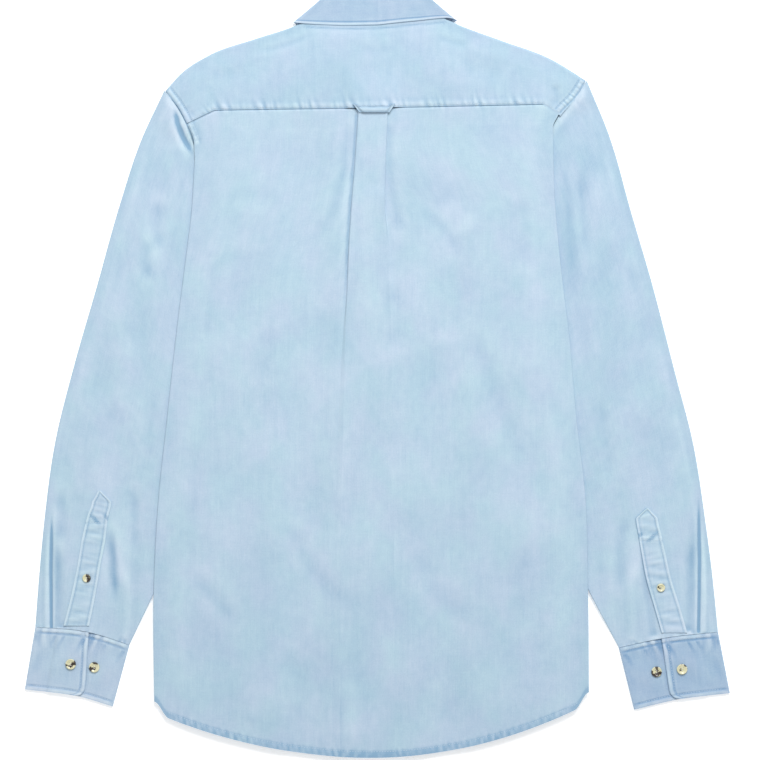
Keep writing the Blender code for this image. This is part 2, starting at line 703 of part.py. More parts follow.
def build_sleeve(side, name):
    """A sleeve: a flattened tube whose rings run from the armhole to the cuff."""
    bend = SLEEVE_BEND
    outer, inner = [], []
    for s in SLEEVE_ROWS:
        width = math.dist(*np.array(sleeve_plan(side, s, np.array([0.0, 1.0]))).T)
        places = sleeve_plan(side, s, np.array([0.01, 0.99]))
        low, top = sleeve_heights(side, *places)
        radius = (top - low) / 2
        flat = np.linspace(radius[0] / width, 1 - radius[1] / width, 9)
        flat_low, flat_top = sleeve_heights(side, *sleeve_plan(side, s, flat))
        for face, moved in ((outer, 0.0), (inner, CLOTH)):
            reach = radius - moved
            inner_fold = flat[-1] + reach[1] / width * np.cos(bend)
            outer_fold = flat[0] - reach[0] / width * np.cos(bend)
            across = np.concatenate([flat, inner_fold, flat[::-1], outer_fold])
            middle = (flat_top + flat_low) / 2
            z = np.concatenate([
                flat_top - moved,
                middle[-1] + reach[1] * np.sin(bend),
                flat_low[::-1] + moved,
                middle[0] - reach[0] * np.sin(bend),
            ])
            out, y = sleeve_plan(side, s, across)
            face.append(np.stack([side * out, y, z], axis=1))
    wall(name, np.array(outer), np.array(inner), DENIM, ring=True)


def cuff_plan(side, across, down):
    """Distance out and height of points on a cuff."""
    edges = [along(CUFF[side], "across", k, across) for k in ("out", "y", "low_out", "low_y")]
    return edges[0] * (1 - down) + edges[2] * down, edges[1] * (1 - down) + edges[3] * down


def build_cuff(side, name):
    """A buttoned cuff: one band round the wrist, its rounded upper end lapping the under end."""
    radius = (CUFF_UNDER - CUFF_CLOTH / 2) / 2
    rim = (radius + CUFF_CLOTH / 2) / CUFF_WIDTH
    middle = (CUFF_UNDER + CUFF_CLOTH / 2) / 2
    bend = CUFF_BEND
    outer, inner = [], []
    for down in CUFF_ROWS:
        lap = CUFF_LAP[side][0] * (1 - down) + CUFF_LAP[side][1] * down
        into_corner = max(0.0, down * CUFF_DEEP - (CUFF_DEEP - CUFF_CORNER))
        lap -= (CUFF_CORNER - math.sqrt(CUFF_CORNER**2 - into_corner**2)) / CUFF_WIDTH
        under = np.linspace(CUFF_UNDER_END, 1 - rim, 5)
        over = np.linspace(CUFF_STEP[2], lap, 4)
        across = np.concatenate([
            under, 1 - rim + radius / CUFF_WIDTH * np.cos(bend), np.linspace(1 - rim, rim, 5),
            rim - radius / CUFF_WIDTH * np.cos(bend), (rim, *CUFF_STEP[:2]), over,
        ])
        z = np.concatenate([
            np.full(5, CUFF_UNDER), middle + radius * np.sin(bend), np.full(5, CUFF_CLOTH / 2),
            middle - radius * np.sin(bend),
            (CUFF_UNDER, CUFF_UNDER, (CUFF_UNDER + CUFF_UPPER) / 2), np.full(4, CUFF_UPPER),
        ])
        way = np.gradient(np.stack([across * CUFF_WIDTH, z], axis=1), axis=0)
        way /= np.linalg.norm(way, axis=1)[:, None]
        for face, moved in ((outer, CUFF_CLOTH / 2), (inner, -CUFF_CLOTH / 2)):
            out, y = cuff_plan(side, across - way[:, 1] * moved / CUFF_WIDTH, down)
            face.append(np.stack([side * out, y, z + way[:, 0] * moved], axis=1))
    wall(name, np.array(outer), np.array(inner), DENIM_TRIM)


def tower_rows(side):
    """Places across a sleeve's placket, as rows of a grid, and its underside."""
    rows = np.linspace(0, 1, 11) ** 1.3
    y = TOWER[side]["y"][0] + (TOWER[side]["y"][-1] - TOWER[side]["y"][0]) * rows
    out = along(TOWER[side], "y", "out", y)[:, None]
    half = straight(TOWER[side], "y", "half", y)[:, None]
    out = out + half * np.array([[-1.0, 0.0, 1.0]])
    y = y[:, None] + np.zeros_like(out)
    return out, y, sleeve_heights(side, out, y)[1] + GAP + 0.1


def build_tower(side, name):
    """The tower placket that is sewn on a sleeve above its cuff."""
    out, y, low = tower_rows(side)
    strip_wall(name, side * out, y, low, CLOTH, DENIM)


def collar_ring(side, round_, lower, upper, rise):
    """Places round the collar, part of the way between two of its edges, and the way out of it."""
    rows = COLLAR[side]
    out = along(rows, "round", lower + "_out", round_) * (1 - rise)
    out = out + along(rows, "round", upper + "_out", round_) * rise
    y = along(rows, "round", lower + "_y", round_) * (1 - rise)
    y = y + along(rows, "round", upper + "_y", round_) * rise
    angle = np.pi / 2 - np.pi * np.clip((round_ - 0.42) / 0.16, 0, 1)
    half = (COLLAR_HIGH - COLLAR_LOW) / 2
    z = COLLAR_LOW + half + half * np.sin(angle)
    return out, y, z, np.cos(angle), np.sin(angle)


def both_sides(half):
    """Join a row for each side into one, from the left's front round the back to the right's."""
    left, right = half(LEFT), half(RIGHT)
    return np.concatenate([left[::-1], right[1:]])


def build_collar():
    """The stand that rises from the neck's seam, and the leaf that folds over it."""
    bite = SEAM / 2

    def stand_row(rise, offset):
        def half(side):
            out, y, z, to_side, up = collar_ring(side, ROUND, "neck", "fold", rise)
            out = np.maximum(out + offset * to_side, np.where(ROUND > 0.9, bite, 0))
            lift = STAND_BUTTON_LIFT * smooth((ROUND - 0.82) / 0.12)
            return np.stack([side * out, y - 3 * rise, z + offset * up + lift], axis=1)

        return both_sides(half)

    faces = [np.array([stand_row(rise, offset) for rise in (0, 0.33, 0.66, 1)])
             for offset in (CLOTH / 2, -CLOTH / 2)]
    wall("collar_stand", *faces, DENIM_TRIM)

    def leaf_row(turn, fall, back_off, offset):
        def half(side):
            out, y, z, to_side, up = collar_ring(side, ROUND, "fold", "leaf", fall)
            radial = PITCH / 2 - PITCH / 2 * math.cos(turn) - offset * math.cos(turn)
            out = np.maximum(out + radial * to_side, np.where(ROUND > 0.9, bite, 0))
            y = y - (1 - fall) * (PITCH / 2 + CLOTH / 2) + (PITCH / 2 + offset) * math.sin(turn) - back_off
            return np.stack([side * out, y, z + radial * up], axis=1)

        return both_sides(half)

    rows = [(0.0, 0.0, 1.4), (0.0, 0.0, 0.0)]
    rows += [(math.radians(a), 0.0, 0.0) for a in (60, 120, 180)]
    rows += [(math.pi, fall, 0.0) for fall in (0.35, 0.7, 1)]
    faces = [np.array([leaf_row(*row, offset) for row in rows]) for offset in (CLOTH / 2, -CLOTH / 2)]
    wall("collar_leaf", *faces, DENIM_TRIM)


def build_loop():
    """The hanging loop, a folded strip whose two ends go into the yoke's seam over the pleat."""
    share = np.linspace(0, 1, 7)[None, :]
    down = np.array([0.0, 0.5, 1.0])[:, None]
    left = LOOP_TOP[0] * (1 - down) + LOOP_LOW[0] * down
    right = LOOP_TOP[1] * (1 - down) + LOOP_LOW[1] * down
    x = left * (1 - share) + right * share
    y = (LOOP_TOP[2] * (1 - down) + LOOP_LOW[2] * down) + np.zeros_like(x)
    low = EDGE_LEVEL + CLOTH + 2 * PITCH + GAP + 0.15 + np.zeros_like(x)
    strip_wall("locker_loop", x, y, low, LOOP_CLOTH, DENIM)


def build_button(name, x, y, z, size, face_up=True):
    """A sewn button: a turned disc with a rounded rim round a shallow dish."""
    across, thick = size
    r = across / 2
    profile = ((0, 0), (r - 0.7, 0), (r, 0.7), (r, thick - 0.5), (r - 0.8, thick), (r - 2.4, thick - 0.6),
               (0, thick - 0.7))
    mesh = bmesh.new()
    verts = [mesh.verts.new((px * MM, 0, pz * MM)) for px, pz in profile]
    edges = [mesh.edges.new(pair) for pair in zip(verts, verts[1:])]
    bmesh.ops.spin(mesh, geom=verts + edges, axis=(0, 0, 1), cent=(0, 0, 0), angle=math.tau,
                   steps=BUTTON_SIDES, use_merge=True, use_duplicate=False)
    bmesh.ops.remove_doubles(mesh, verts=mesh.verts, dist=1e-6)
    if not face_up:
        bmesh.ops.rotate(mesh, verts=mesh.verts, cent=(0, 0, thick / 2 * MM),
                         matrix=Matrix.Rotation(math.pi, 3, "X"))
    bmesh.ops.recalc_face_normals(mesh, faces=mesh.faces)
    piece = add(name, mesh, HORN)
    piece.location = in_frame(x, y, z)


def build_buttons():
    """Two buttons on each cuff, one on each sleeve's placket, and a row down the front."""
    for side, word in ((LEFT, "left"), (RIGHT, "right")):
        tops = (CUFF_UPPER, CUFF_UNDER)
        for n, top in enumerate(tops):
            out, y = cuff_plan(side, CUFF_BUTTONS["across"][n], CUFF_BUTTONS["down"][n])
            z = top + CUFF_CLOTH / 2 + GAP
            build_button(f"cuff_button_{word}_{n + 1}", side * out, y, z, CUFF_BUTTON)
        out, y = TOWER_BUTTON[side]
        top = sleeve_heights(side, np.float64(out), np.float64(y))[1] + 2 * GAP + 0.2 + CLOTH
        build_button(f"placket_button_{word}", side * out, y, top, SLEEVE_BUTTON)
    build_button("stand_button", CENTRE_FRONT, STAND_BUTTON_Y, 0, CUFF_BUTTON, face_up=False)
    for n in range(FRONT_BUTTONS):
        y = FRONT_BUTTON_TOP - n * FRONT_BUTTON_STEP
        build_button(f"front_button_{n + 1}", CENTRE_FRONT, y, 0, CUFF_BUTTON, face_up=False)


def clear_scene():
    """Remove every object that the file starts with."""
    for thing in list(bpy.data.objects):
        bpy.data.objects.remove(thing, do_unlink=True)


def main():
    """Build the shirt from the outer back to the front's buttons."""
    clear_scene()
    build_back()
    build_yoke()
    build_front(LEFT, "front_left", LAP, 0.0)
    build_front(RIGHT, "front_right", LAP, PITCH)
    build_front_placket()
    build_collar()
    build_loop()
    for side, word in ((LEFT, "left"), (RIGHT, "right")):
        build_sleeve(side, f"sleeve_{word}")
        build_cuff(side, f"cuff_{word}")
        build_tower(side, f"sleeve_placket_{word}")
    build_buttons()


main()
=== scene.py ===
"""A long-sleeved denim shirt that lies face down, buttoned, with its sleeves beside it.

Its cloth, creases, stitching and buttons are made here, round the frame's solids. Tables and sizes
are in millimetres, with x to the wearer's right, y up the back to the collar and z out of the
back, and meshes are in metres. "Out" is the distance from the middle line towards a side.
"""

import logging
import math
from dataclasses import dataclass, field
from enum import Enum

import bmesh
import bpy
import numpy as np
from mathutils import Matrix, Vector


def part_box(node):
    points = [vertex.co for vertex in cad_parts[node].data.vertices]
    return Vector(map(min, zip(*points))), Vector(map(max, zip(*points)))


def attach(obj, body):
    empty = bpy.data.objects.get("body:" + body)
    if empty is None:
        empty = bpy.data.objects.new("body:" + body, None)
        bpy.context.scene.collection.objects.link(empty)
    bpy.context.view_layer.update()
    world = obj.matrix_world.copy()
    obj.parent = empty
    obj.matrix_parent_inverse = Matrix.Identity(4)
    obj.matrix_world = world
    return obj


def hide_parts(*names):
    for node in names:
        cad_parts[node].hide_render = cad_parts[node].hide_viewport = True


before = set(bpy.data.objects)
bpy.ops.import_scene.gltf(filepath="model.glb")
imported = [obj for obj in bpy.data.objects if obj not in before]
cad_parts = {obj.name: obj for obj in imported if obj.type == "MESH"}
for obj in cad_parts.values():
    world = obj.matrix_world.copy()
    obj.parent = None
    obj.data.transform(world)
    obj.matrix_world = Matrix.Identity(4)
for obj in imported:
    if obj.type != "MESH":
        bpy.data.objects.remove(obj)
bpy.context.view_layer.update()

Array = np.ndarray
Piece = bpy.types.Object
Socket = bpy.types.NodeSocket
MM = 0.001
log = logging.getLogger("denim_shirt")


class Side(Enum):
    """A side of the shirt, whose value is the sign of x there."""

    LEFT = -1
    RIGHT = 1

    @property
    def word(self) -> str:
        """The side's name in the names of pieces."""
        return self.name.lower()


LEFT, RIGHT = Side.LEFT, Side.RIGHT


# Numbers and curves


def smooth(x: Array) -> Array:
    """Rise from 0 to 1 as x goes from 0 to 1, level at both ends: 3x² - 2x³."""
    x = np.clip(x, 0.0, 1.0)
    return x * x * (3.0 - 2.0 * x)


def bell(x: Array) -> Array:
    """A bell of height 1 at x = 0: e to the power -x²."""
    return np.exp(-np.square(x))


def grid(*parts: Array) -> Array:
    """Put numbers for the same places side by side on a last axis, spread to one shape."""
    return np.stack(np.broadcast_arrays(*parts), axis=-1)


def spread(*runs: tuple[float, float, int]) -> Array:
    """Join runs of evenly spaced numbers that follow on from each other.

    Args:
        runs: (first, last, parts) of each run.

    Returns:
        Every run's numbers in order, with shared ends once.
    """
    parts = [np.linspace(a, b, n, endpoint=False) for a, b, n in runs]
    return np.concatenate([*parts, [runs[-1][1]]])


class Table:
    """Named columns of numbers, read between their rows."""

    def __init__(self, columns: str, *rows: tuple[float, ...]) -> None:
        """Keep the rows as one array for each named column.

        Args:
            columns: the names, with spaces between them.
            rows: the numbers, one row for each station.
        """
        self.columns = dict(zip(columns.split(), np.array(rows, float).T))

    def knots(self, key: str, name: str) -> tuple[Array, Array]:
        """The key column in rising order, and the named column in the same order."""
        knots, values = self.columns[key], self.columns[name]
        return (knots, values) if knots[0] < knots[-1] else (knots[::-1], values[::-1])

    def curve(self, key: str, name: str, at: Array) -> Array:
        """Read a column on a smooth curve: cubic Hermite spans with the rows' own slopes.

        Args:
            key: the column to look up.
            name: the column to read.
            at: values of the key column.

        Returns:
            The named column at each value.
        """
        knots, values = self.knots(key, name)
        slopes = np.gradient(values, knots)
        at = np.clip(at, knots[0], knots[-1])
        i = np.clip(np.searchsorted(knots, at) - 1, 0, len(knots) - 2)
        span = knots[i + 1] - knots[i]
        t = (at - knots[i]) / span
        start = (t**3 - 2 * t**2 + t) * span * slopes[i]
        end = (t**3 - t**2) * span * slopes[i + 1]
        return values[i] * (1 - smooth(t)) + values[i + 1] * smooth(t) + start + end

    def line(self, key: str, name: str, at: Array) -> Array:
        """Read a column on straight lines between its rows."""
        knots, values = self.knots(key, name)
        return np.interp(at, knots, values)

    def first(self, name: str) -> float:
        """The named column's first number."""
        return float(self.columns[name][0])

    def last(self, name: str) -> float:
        """The named column's last number."""
        return float(self.columns[name][-1])


class Route:
    """A line of straight runs on the shirt, such as a seam or the bottom of a crease."""

    def __init__(self, points: Array) -> None:
        """Keep the points and the distance along the line at each.

        Args:
            points: places as rows of x and y.
        """
        self.points = np.array(points, float)
        self.runs = np.diff(self.points, axis=0)
        self.lengths = np.hypot(*self.runs.T)
        self.marks = np.concatenate([[0.0], np.cumsum(self.lengths)])

    @property
    def length(self) -> float:
        """The whole length of the line."""
        return float(self.marks[-1])

    def near(self, x: Array, y: Array) -> tuple[Array, Array]:
        """Find each place's nearest point on the line.

        Args:
            x, y: the places.

        Returns:
            The distance off the line, positive on its left, and the distance along it.
        """
        off = np.full(x.shape, np.inf)
        along = np.zeros(x.shape)
        for start, run, length, mark in zip(self.points, self.runs, self.lengths, self.marks):
            dx, dy = x - start[0], y - start[1]
            t = np.clip((dx * run[0] + dy * run[1]) / length**2, 0, 1)
            away = np.hypot(dx - t * run[0], dy - t * run[1])
            hand = np.where(run[0] * dy - run[1] * dx < 0, -1.0, 1.0)
            closer = away < np.abs(off)
            off = np.where(closer, away * hand, off)
            along = np.where(closer, mark + t * length, along)
        return off, along

    def at(self, distance: Array) -> tuple[Array, Array]:
        """Places at distances along the line, as rows of x and y, and its heading there."""
        place = grid(*(np.interp(distance, self.marks, column) for column in self.points.T))
        i = np.clip(np.searchsorted(self.marks, distance, side="right") - 1, 0, len(self.runs) - 1)
        return place, np.arctan2(self.runs[i, 1], self.runs[i, 0])

    def moved(self, left: float) -> "Route":
        """The same line moved to its left, on the mean heading at each point."""
        way = self.runs / self.lengths[:, None]
        mean = np.concatenate([way[:1], way[:-1] + way[1:], way[-1:]])
        mean /= np.hypot(*mean.T)[:, None]
        return Route(self.points + left * grid(-mean[:, 1], mean[:, 0]))


NO_EASE = 0.001  # a crease that runs on into a seam at full strength


@dataclass(frozen=True)
class Crease:
    """One trough or ridge.

    Height = depth x a bell of (distance off the line / width) x an ease in and out at its ends.
    """

    points: tuple[tuple[float, float], ...]
    depth: float  # below 0 for a trough
    width: float
    ease: float = 0.3  # share of the length over which each end fades
    ease_end: float | None = None  # at its far end, where that differs

    def height(self, x: Array, y: Array) -> Array:
        """How far the crease lifts the cloth at each place."""
        points = np.array(self.points)
        low, high = points.min(axis=0) - 4 * self.width, points.max(axis=0) + 4 * self.width
        near = (x > low[0]) & (x < high[0]) & (y > low[1]) & (y < high[1])
        height = np.zeros(x.shape)
        route = Route(points)
        off, along = route.near(x[near], y[near])
        share = along / route.length
        end = self.ease if self.ease_end is None else self.ease_end
        fade = smooth(share / self.ease) * smooth((1 - share) / max(end, 1e-3))
        height[near] = self.depth * bell(off / self.width) * fade
        return height


@dataclass(frozen=True)
class Gathers:
    """Small uneven puckers that a row of stitches draws up.

    Height = depth x two sines along the seam, the second one slower and slanted, x a slow change
    in strength x a fall-off away from the seam on each side.
    """

    route: Route
    depth: float
    pitch: float
    reach: float  # on the seam's left
    other_reach: float = 2.0  # on its right
    slant: float = 0.0
    seed: float = 0.0

    def height(self, x: Array, y: Array) -> Array:
        """How far the puckers lift the cloth at each place."""
        far = 4 * max(self.reach, self.other_reach)
        low, high = self.route.points.min(axis=0) - far, self.route.points.max(axis=0) + far
        near = (x > low[0]) & (x < high[0]) & (y > low[1]) & (y < high[1])
        off, along = self.route.near(x[near], y[near])
        turn = math.tau / self.pitch
        t = along + self.slant * off + 0.3 * self.pitch * np.sin(turn * along / 4.7 + self.seed)
        wave = 0.65 * np.sin(turn * t + self.seed)
        wave = wave + 0.45 * np.sin(turn * t / 1.63 + 2.1 * self.seed)
        strength = 0.6 + 0.4 * np.sin(turn * along / 6.1 + 1.3 * self.seed)
        fall = np.exp(-np.abs(off) / np.where(off > 0, self.reach, self.other_reach))
        height = np.zeros(x.shape)
        height[near] = self.depth * wave * strength * fall
        return height


Relief = list[Crease | Gathers]


def relief_height(relief: Relief, x: Array, y: Array) -> Array:
    """The sum of every crease and pucker in a relief at each place."""
    height = np.zeros(np.shape(x))
    for part in relief:
        height = height + part.height(x, y)
    return height


def walk(steps: list[tuple[Array, Array, int]], heading: Array) -> tuple[Array, Array]:
    """Follow runs and arcs across a panel, for every row of it at once.

    Args:
        steps: (length, turn, parts) of each step, with a length and a turn for each row. A turn
            of 0 is a straight run.
        heading: the first heading of each row.

    Returns:
        Points as rows x places x 2 and headings as rows x places.
    """
    points, headings = [np.zeros((len(heading), 2))], [heading]
    for length, turn, parts in steps:
        for _ in range(parts):
            middle = headings[-1] + turn / parts / 2
            step = grid(np.cos(middle), np.sin(middle)) * (length / parts)[:, None]
            points.append(points[-1] + step)
            headings.append(headings[-1] + turn / parts)
    return np.stack(points, axis=1), np.stack(headings, axis=1)


def mirrored(points: Array, headings: Array) -> tuple[Array, Array]:
    """The same paths seen from the other side, walked the other way."""
    return points[:, ::-1] * (-1, 1), -headings[:, ::-1]


# The cut: the tables of the shirt's outline

# The back's side edge: height, distance out, width tucked under, turn of the tuck in degrees. Its
# top rows reach out to the armhole's seam.
SIDE_EDGE = {
    LEFT: Table(
        "y out tuck turn",
        (262, 206.6, 1, 0), (240, 197.9, 1, 0), (228, 197.2, 0.6, 0), (221, 197.2, 0.6, 60),
        (214, 197.4, 0.6, 120), (207, 197.8, 0.8, 180), (160, 200.8, 30, 180),
        (120, 205.8, 56, 180), (84, 210.4, 92, 180), (40, 216, 88, 180), (-60, 227, 74, 180),
        (-147, 236.3, 62, 180), (-246, 241.4, 50, 180), (-375, 240.5, 36, 180),
    ),
    RIGHT: Table(
        "y out tuck turn",
        (270, 196.2, 1, 0), (265, 193.7, 1, 0), (260, 190.9, 1, 0), (256, 189.3, 0.6, 0),
        (249, 189.2, 0.6, 60), (242, 189.3, 0.6, 120), (235, 189.4, 0.8, 180), (180, 191, 30, 180),
        (130, 195, 54, 180), (92, 199, 82, 180), (30, 206.6, 78, 180), (-60, 214.5, 66, 180),
        (-141, 223.9, 56, 180), (-246, 227, 46, 180), (-365, 228, 34, 180),
    ),
}

# The armhole seam, from the shoulder to the underarm.
ARMHOLE = {
    LEFT: Table(
        "along out y",
        (0, 229.5, 296), (0.13, 215.5, 277.6), (0.22, 207.0, 262), (0.31, 198.4, 240),
        (0.45, 184, 204), (0.75, 150, 132), (1, 120, 80),
    ),
    RIGHT: Table(
        "along out y",
        (0, 225.2, 307), (0.13, 211.5, 286.4), (0.22, 198.0, 272.5), (0.31, 187.2, 255),
        (0.45, 176, 220), (0.75, 146, 142), (1, 120, 88),
    ),
}

# A sleeve's outer and inner fold, from the armhole to the cuff.
SLEEVE_EDGE = {
    LEFT: Table(
        "along out y inner_out inner_y",
        (0, 229.5, 296, 120, 80), (0.08, 253, 247, 127, 55), (0.2, 277, 177, 138, 22),
        (0.36, 303, 85, 155, -30), (0.52, 328, -2, 173, -85), (0.68, 348.5, -86, 190, -135),
        (0.82, 359.5, -166, 211, -185), (0.93, 366, -238, 242, -248),
        (1, 369.2, -282.6, 268, -301.6),
    ),
    RIGHT: Table(
        "along out y inner_out inner_y",
        (0, 225.2, 307, 120, 88), (0.08, 249, 250, 126, 60), (0.2, 273, 168, 137, 25),
        (0.36, 297, 86, 152, -30), (0.52, 321, -7, 168, -88), (0.68, 341.5, -88, 183, -138),
        (0.82, 354, -168, 203, -188), (0.93, 362.5, -236, 231, -250), (1, 367.6, -288, 260.7, -305),
    ),
}

# A cuff's upper and lower edge, from its outer fold to its inner fold.
CUFF_EDGE = {
    LEFT: Table(
        "across out y low_out low_y",
        (0, 369.4, -283, 380.7, -350), (0.56, 312, -288.3, 325, -357),
        (1, 267.8, -302.4, 285.7, -368.5),
    ),
    RIGHT: Table(
        "across out y low_out low_y",
        (0, 367.7, -288.4, 380.4, -354), (0.56, 307.5, -295, 323, -361),
        (1, 260.5, -305.4, 277, -372),
    ),
}

# A sleeve's pointed placket: height of the row, its middle, half its width.
PLACKET_EDGE = {
    LEFT: Table(
        "y out half",
        (-135.5, 300, 1.5), (-147.5, 297.5, 10.5), (-163, 301.5, 11.5), (-190, 306.5, 13),
        (-215, 311, 12.5), (-245, 316.5, 13), (-281, 324.6, 14),
    ),
    RIGHT: Table(
        "y out half",
        (-154.5, 290.6, 1.5), (-165, 290.2, 12), (-183, 293.5, 12.5), (-205, 297.8, 13.2),
        (-230, 303, 13.6), (-262, 312.5, 14), (-288.5, 320, 14),
    ),
}

PLACKET_BOX = (29.5, 34.5)  # its two cross seams, below its point

# The yoke's seam to the back, and the shoulder line with the back of the neck.
YOKE_SEAM = Table("x y", (-206.4, 260), (-176, 274.6), (20, 277.6), (178, 281), (191.5, 272))
SHOULDER = Table(
    "x y",
    (-229.5, 296), (-214, 313), (-185, 332.5), (-130, 352.5), (-93, 364.3), (-77, 370.6),
    (-70, 372.4), (-40, 372.2), (0, 371.4), (40, 373.2), (65, 375.4), (72, 373.6), (90, 366),
    (133, 350.4), (190, 328.6), (212, 315.6), (225.2, 307),
)

# The collar: how far round from the back's middle to the front's middle.
COLLAR_EDGE = {
    LEFT: Table(
        "round neck_out neck_y fold_out fold_y leaf_out leaf_y",
        (0, 0, 371.9, 0, 411, 0, 366.8), (0.25, 40, 372.9, 30, 410, 45, 366.4),
        (0.42, 71, 373, 53, 402, 84, 368.6), (0.5, 76, 372, 57, 397, 89.6, 369.6),
        (0.58, 74, 370.4, 56, 391, 88, 367.4), (0.66, 68, 350, 50, 376, 85, 348),
        (0.8, 44, 314, 33, 351, 73, 314), (1, 0, 297.6, 4, 329, 50, 284),
    ),
    RIGHT: Table(
        "round neck_out neck_y fold_out fold_y leaf_out leaf_y",
        (0, 0, 371.9, 0, 411, 0, 366.8), (0.25, 38, 373.6, 28, 410, 40, 371),
        (0.42, 66, 375.9, 50, 402, 78, 374), (0.5, 71, 375, 54, 397, 84, 371.4),
        (0.58, 69, 373.4, 53, 391, 82, 369), (0.66, 64, 352, 48, 376, 79, 350),
        (0.8, 42, 315, 32, 351, 69, 315), (1, 0, 297.6, 4, 329, 48, 284),
    ),
}

# The box pleat: distance below the yoke, its two edges, turn of each fold, cloth in each fold.
PLEAT = Table(
    "below left right turn run",
    (0, -20.5, 11.5, 180, 13), (60, -24.5, 9, 180, 13), (110, -28.5, 8, 180, 9),
    (150, -31, 11, 180, 4), (175, -32, 13, 130, 2), (200, -33, 14.5, 80, 1.5),
    (235, -35, 16, 40, 2.5), (300, -37, 17, 18, 4), (420, -40, 19, 5, 6), (705, -42, 20, 1, 8),
)


@dataclass(frozen=True)
class Lie:
    """How the plies lie on each other: the cloth's wall and the heights of the layers."""

    cloth: float = 1.0
    gap: float = 0.35
    seam: float = 0.35
    edge_level: float = 6.9  # underside of the back over the plies along its sides
    neck_level: float = 4.5  # underside of the yoke along the shoulders and the neck
    sleeve_fill: float = 2.4  # between a sleeve's plies, in its middle
    sag: float = 2.1  # of the back between the pleat and the sides
    shoulder_slope: float = 70.0  # how far below the shoulders the back is level
    hem_middle: float = -423.0
    centre_front: float = -3.0
    placket_half: float = 16.0
    neck: tuple[float, float] = (-77.0, 72.0)
    button_thick: float = 2.2
    collar_cushion: float = 96.0  # reach of the folded collar under the fronts

    @property
    def pitch(self) -> float:
        """From one ply's middle to the next."""
        return self.cloth + self.gap

    def back_level(self, x: Array, y: Array) -> Array:
        """Height of the underside of the back's and the yoke's upper ply at a place."""
        side = np.abs(x + 4)
        valley = smooth((side - 34) / 32) * smooth((110 - side) / 30)
        level = self.edge_level - self.sag * valley * smooth((300 - y) / 60)
        from_shoulder = SHOULDER.curve("x", "y", x) - y
        return level - (level - self.neck_level) * smooth(1 - from_shoulder / self.shoulder_slope)

    def pleat_hump(self, x: Array, y: Array) -> Array:
        """How far the yoke rises over the pleat's three plies, near its seam."""
        return 2 * self.pitch * smooth((34 - np.abs(x + 4.5)) / 14) * smooth((322 - y) / 36)

    def front_level(self, x: Array, y: Array) -> Array:
        """Height of a front's underside, which rises over the collar and the placket."""
        collar = self.pitch * smooth((self.collar_cushion + 18 - np.hypot(x, y - 345)) / 18)
        rise = self.button_thick + self.gap + self.pitch
        placket = rise * smooth((self.placket_half + 28 - np.abs(x - self.centre_front)) / 24)
        return np.maximum(collar, placket)

    def sleeve_heights(self, side: Side, out: Array, y: Array) -> tuple[Array, Array]:
        """Underside and top of a sleeve at a place, with its top drawn up to the armhole's seam."""
        low_under_back = 2 * self.pitch
        high_under_back = low_under_back + self.cloth + self.pitch
        from_outer = SLEEVE_EDGE[side].curve("y", "out", y) - out
        from_inner = out - SLEEVE_EDGE[side].curve("inner_y", "inner_out", y)
        fill = self.sleeve_fill * smooth(from_outer / 50) * smooth(from_inner / 50)
        own = 2 * self.cloth + self.gap + fill
        pocket = self.under_back(side, out, y)
        low = low_under_back * pocket
        top = own + (high_under_back - own) * pocket
        from_seam = out - ARMHOLE[side].curve("y", "out", y)
        near = smooth(1 - from_seam / 40) * smooth((y - self.tuck_start(side) - 8) / 26)
        seam = self.back_level(out * side.value, y) + self.cloth
        return low, top + (seam - top) * near

    def tuck_start(self, side: Side) -> float:
        """Height below which the back's side is folded under."""
        return 228.0 if side is LEFT else 256.0

    def under_back(self, side: Side, out: Array, y: Array) -> Array:
        """How far a place on a sleeve is under the back: 0 in the open and 1 under it."""
        edge = SIDE_EDGE[side].curve("y", "out", y)
        return smooth((edge + 30 - out) / 18) * smooth((self.tuck_start(side) + 12 - y) / 14)


LIE = Lie()


@dataclass(frozen=True)
class Origin:
    """Where the tables' zero lies in the frame, read from two of the frame's own pieces."""

    x: float = float(sum(c.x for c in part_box("front_placket")) / 2 - LIE.centre_front * MM)
    y: float = float(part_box("locker_loop")[0].y - 271.8 * MM)

    def to_frame(self, points: Array) -> Array:
        """Turn places in the tables, in millimetres, into metres in the frame."""
        return points * MM + (self.x, self.y, 0.0)


ORIGIN = Origin()


# Meshes


def new_object(name: str, vertices: Array, faces: Array) -> Piece:
    """Make a mesh object of four-sided or three-sided faces, turned outwards and shaded smooth.

    Args:
        name: the piece's name.
        vertices: places in the tables, in millimetres, as rows of three.
        faces: the faces' vertex numbers, all with the same number of sides.

    Returns:
        The new object, linked to the scene.
    """
    data = bpy.data.meshes.new(name)
    data.vertices.add(len(vertices))
    data.vertices.foreach_set("co", ORIGIN.to_frame(vertices).astype(np.float32).ravel())
    count, sides = faces.shape
    data.loops.add(count * sides)
    data.loops.foreach_set("vertex_index", faces.astype(np.int32).ravel())
    data.polygons.add(count)
    data.polygons.foreach_set("loop_start", np.arange(0, count * sides, sides, dtype=np.int32))
    data.update(calc_edges=True)
    body = bmesh.new()
    body.from_mesh(data)
    bmesh.ops.recalc_face_normals(body, faces=body.faces)
    body.to_mesh(data)
    body.free()
    data.shade_smooth()
    piece = bpy.data.objects.new(name, data)
    bpy.context.collection.objects.link(piece)
    return piece


def write_point_values(piece: Piece, name: str, values: Array) -> None:
    """Store one number for each vertex as a named attribute."""
    attribute = piece.data.attributes.new(name, "FLOAT", "POINT")
    attribute.data.foreach_set("value", values.astype(np.float32).ravel())


def write_uv(piece: Piece, uv: Array) -> None:
    """Store a UV map, in metres along the cloth, from one pair of numbers for each vertex."""
    layer = piece.data.uv_layers.new(name="cloth")
    index = np.zeros(len(piece.data.loops), np.int32)
    piece.data.loops.foreach_get("vertex_index", index)
    layer.data.foreach_set("uv", uv[index].astype(np.float32).ravel())


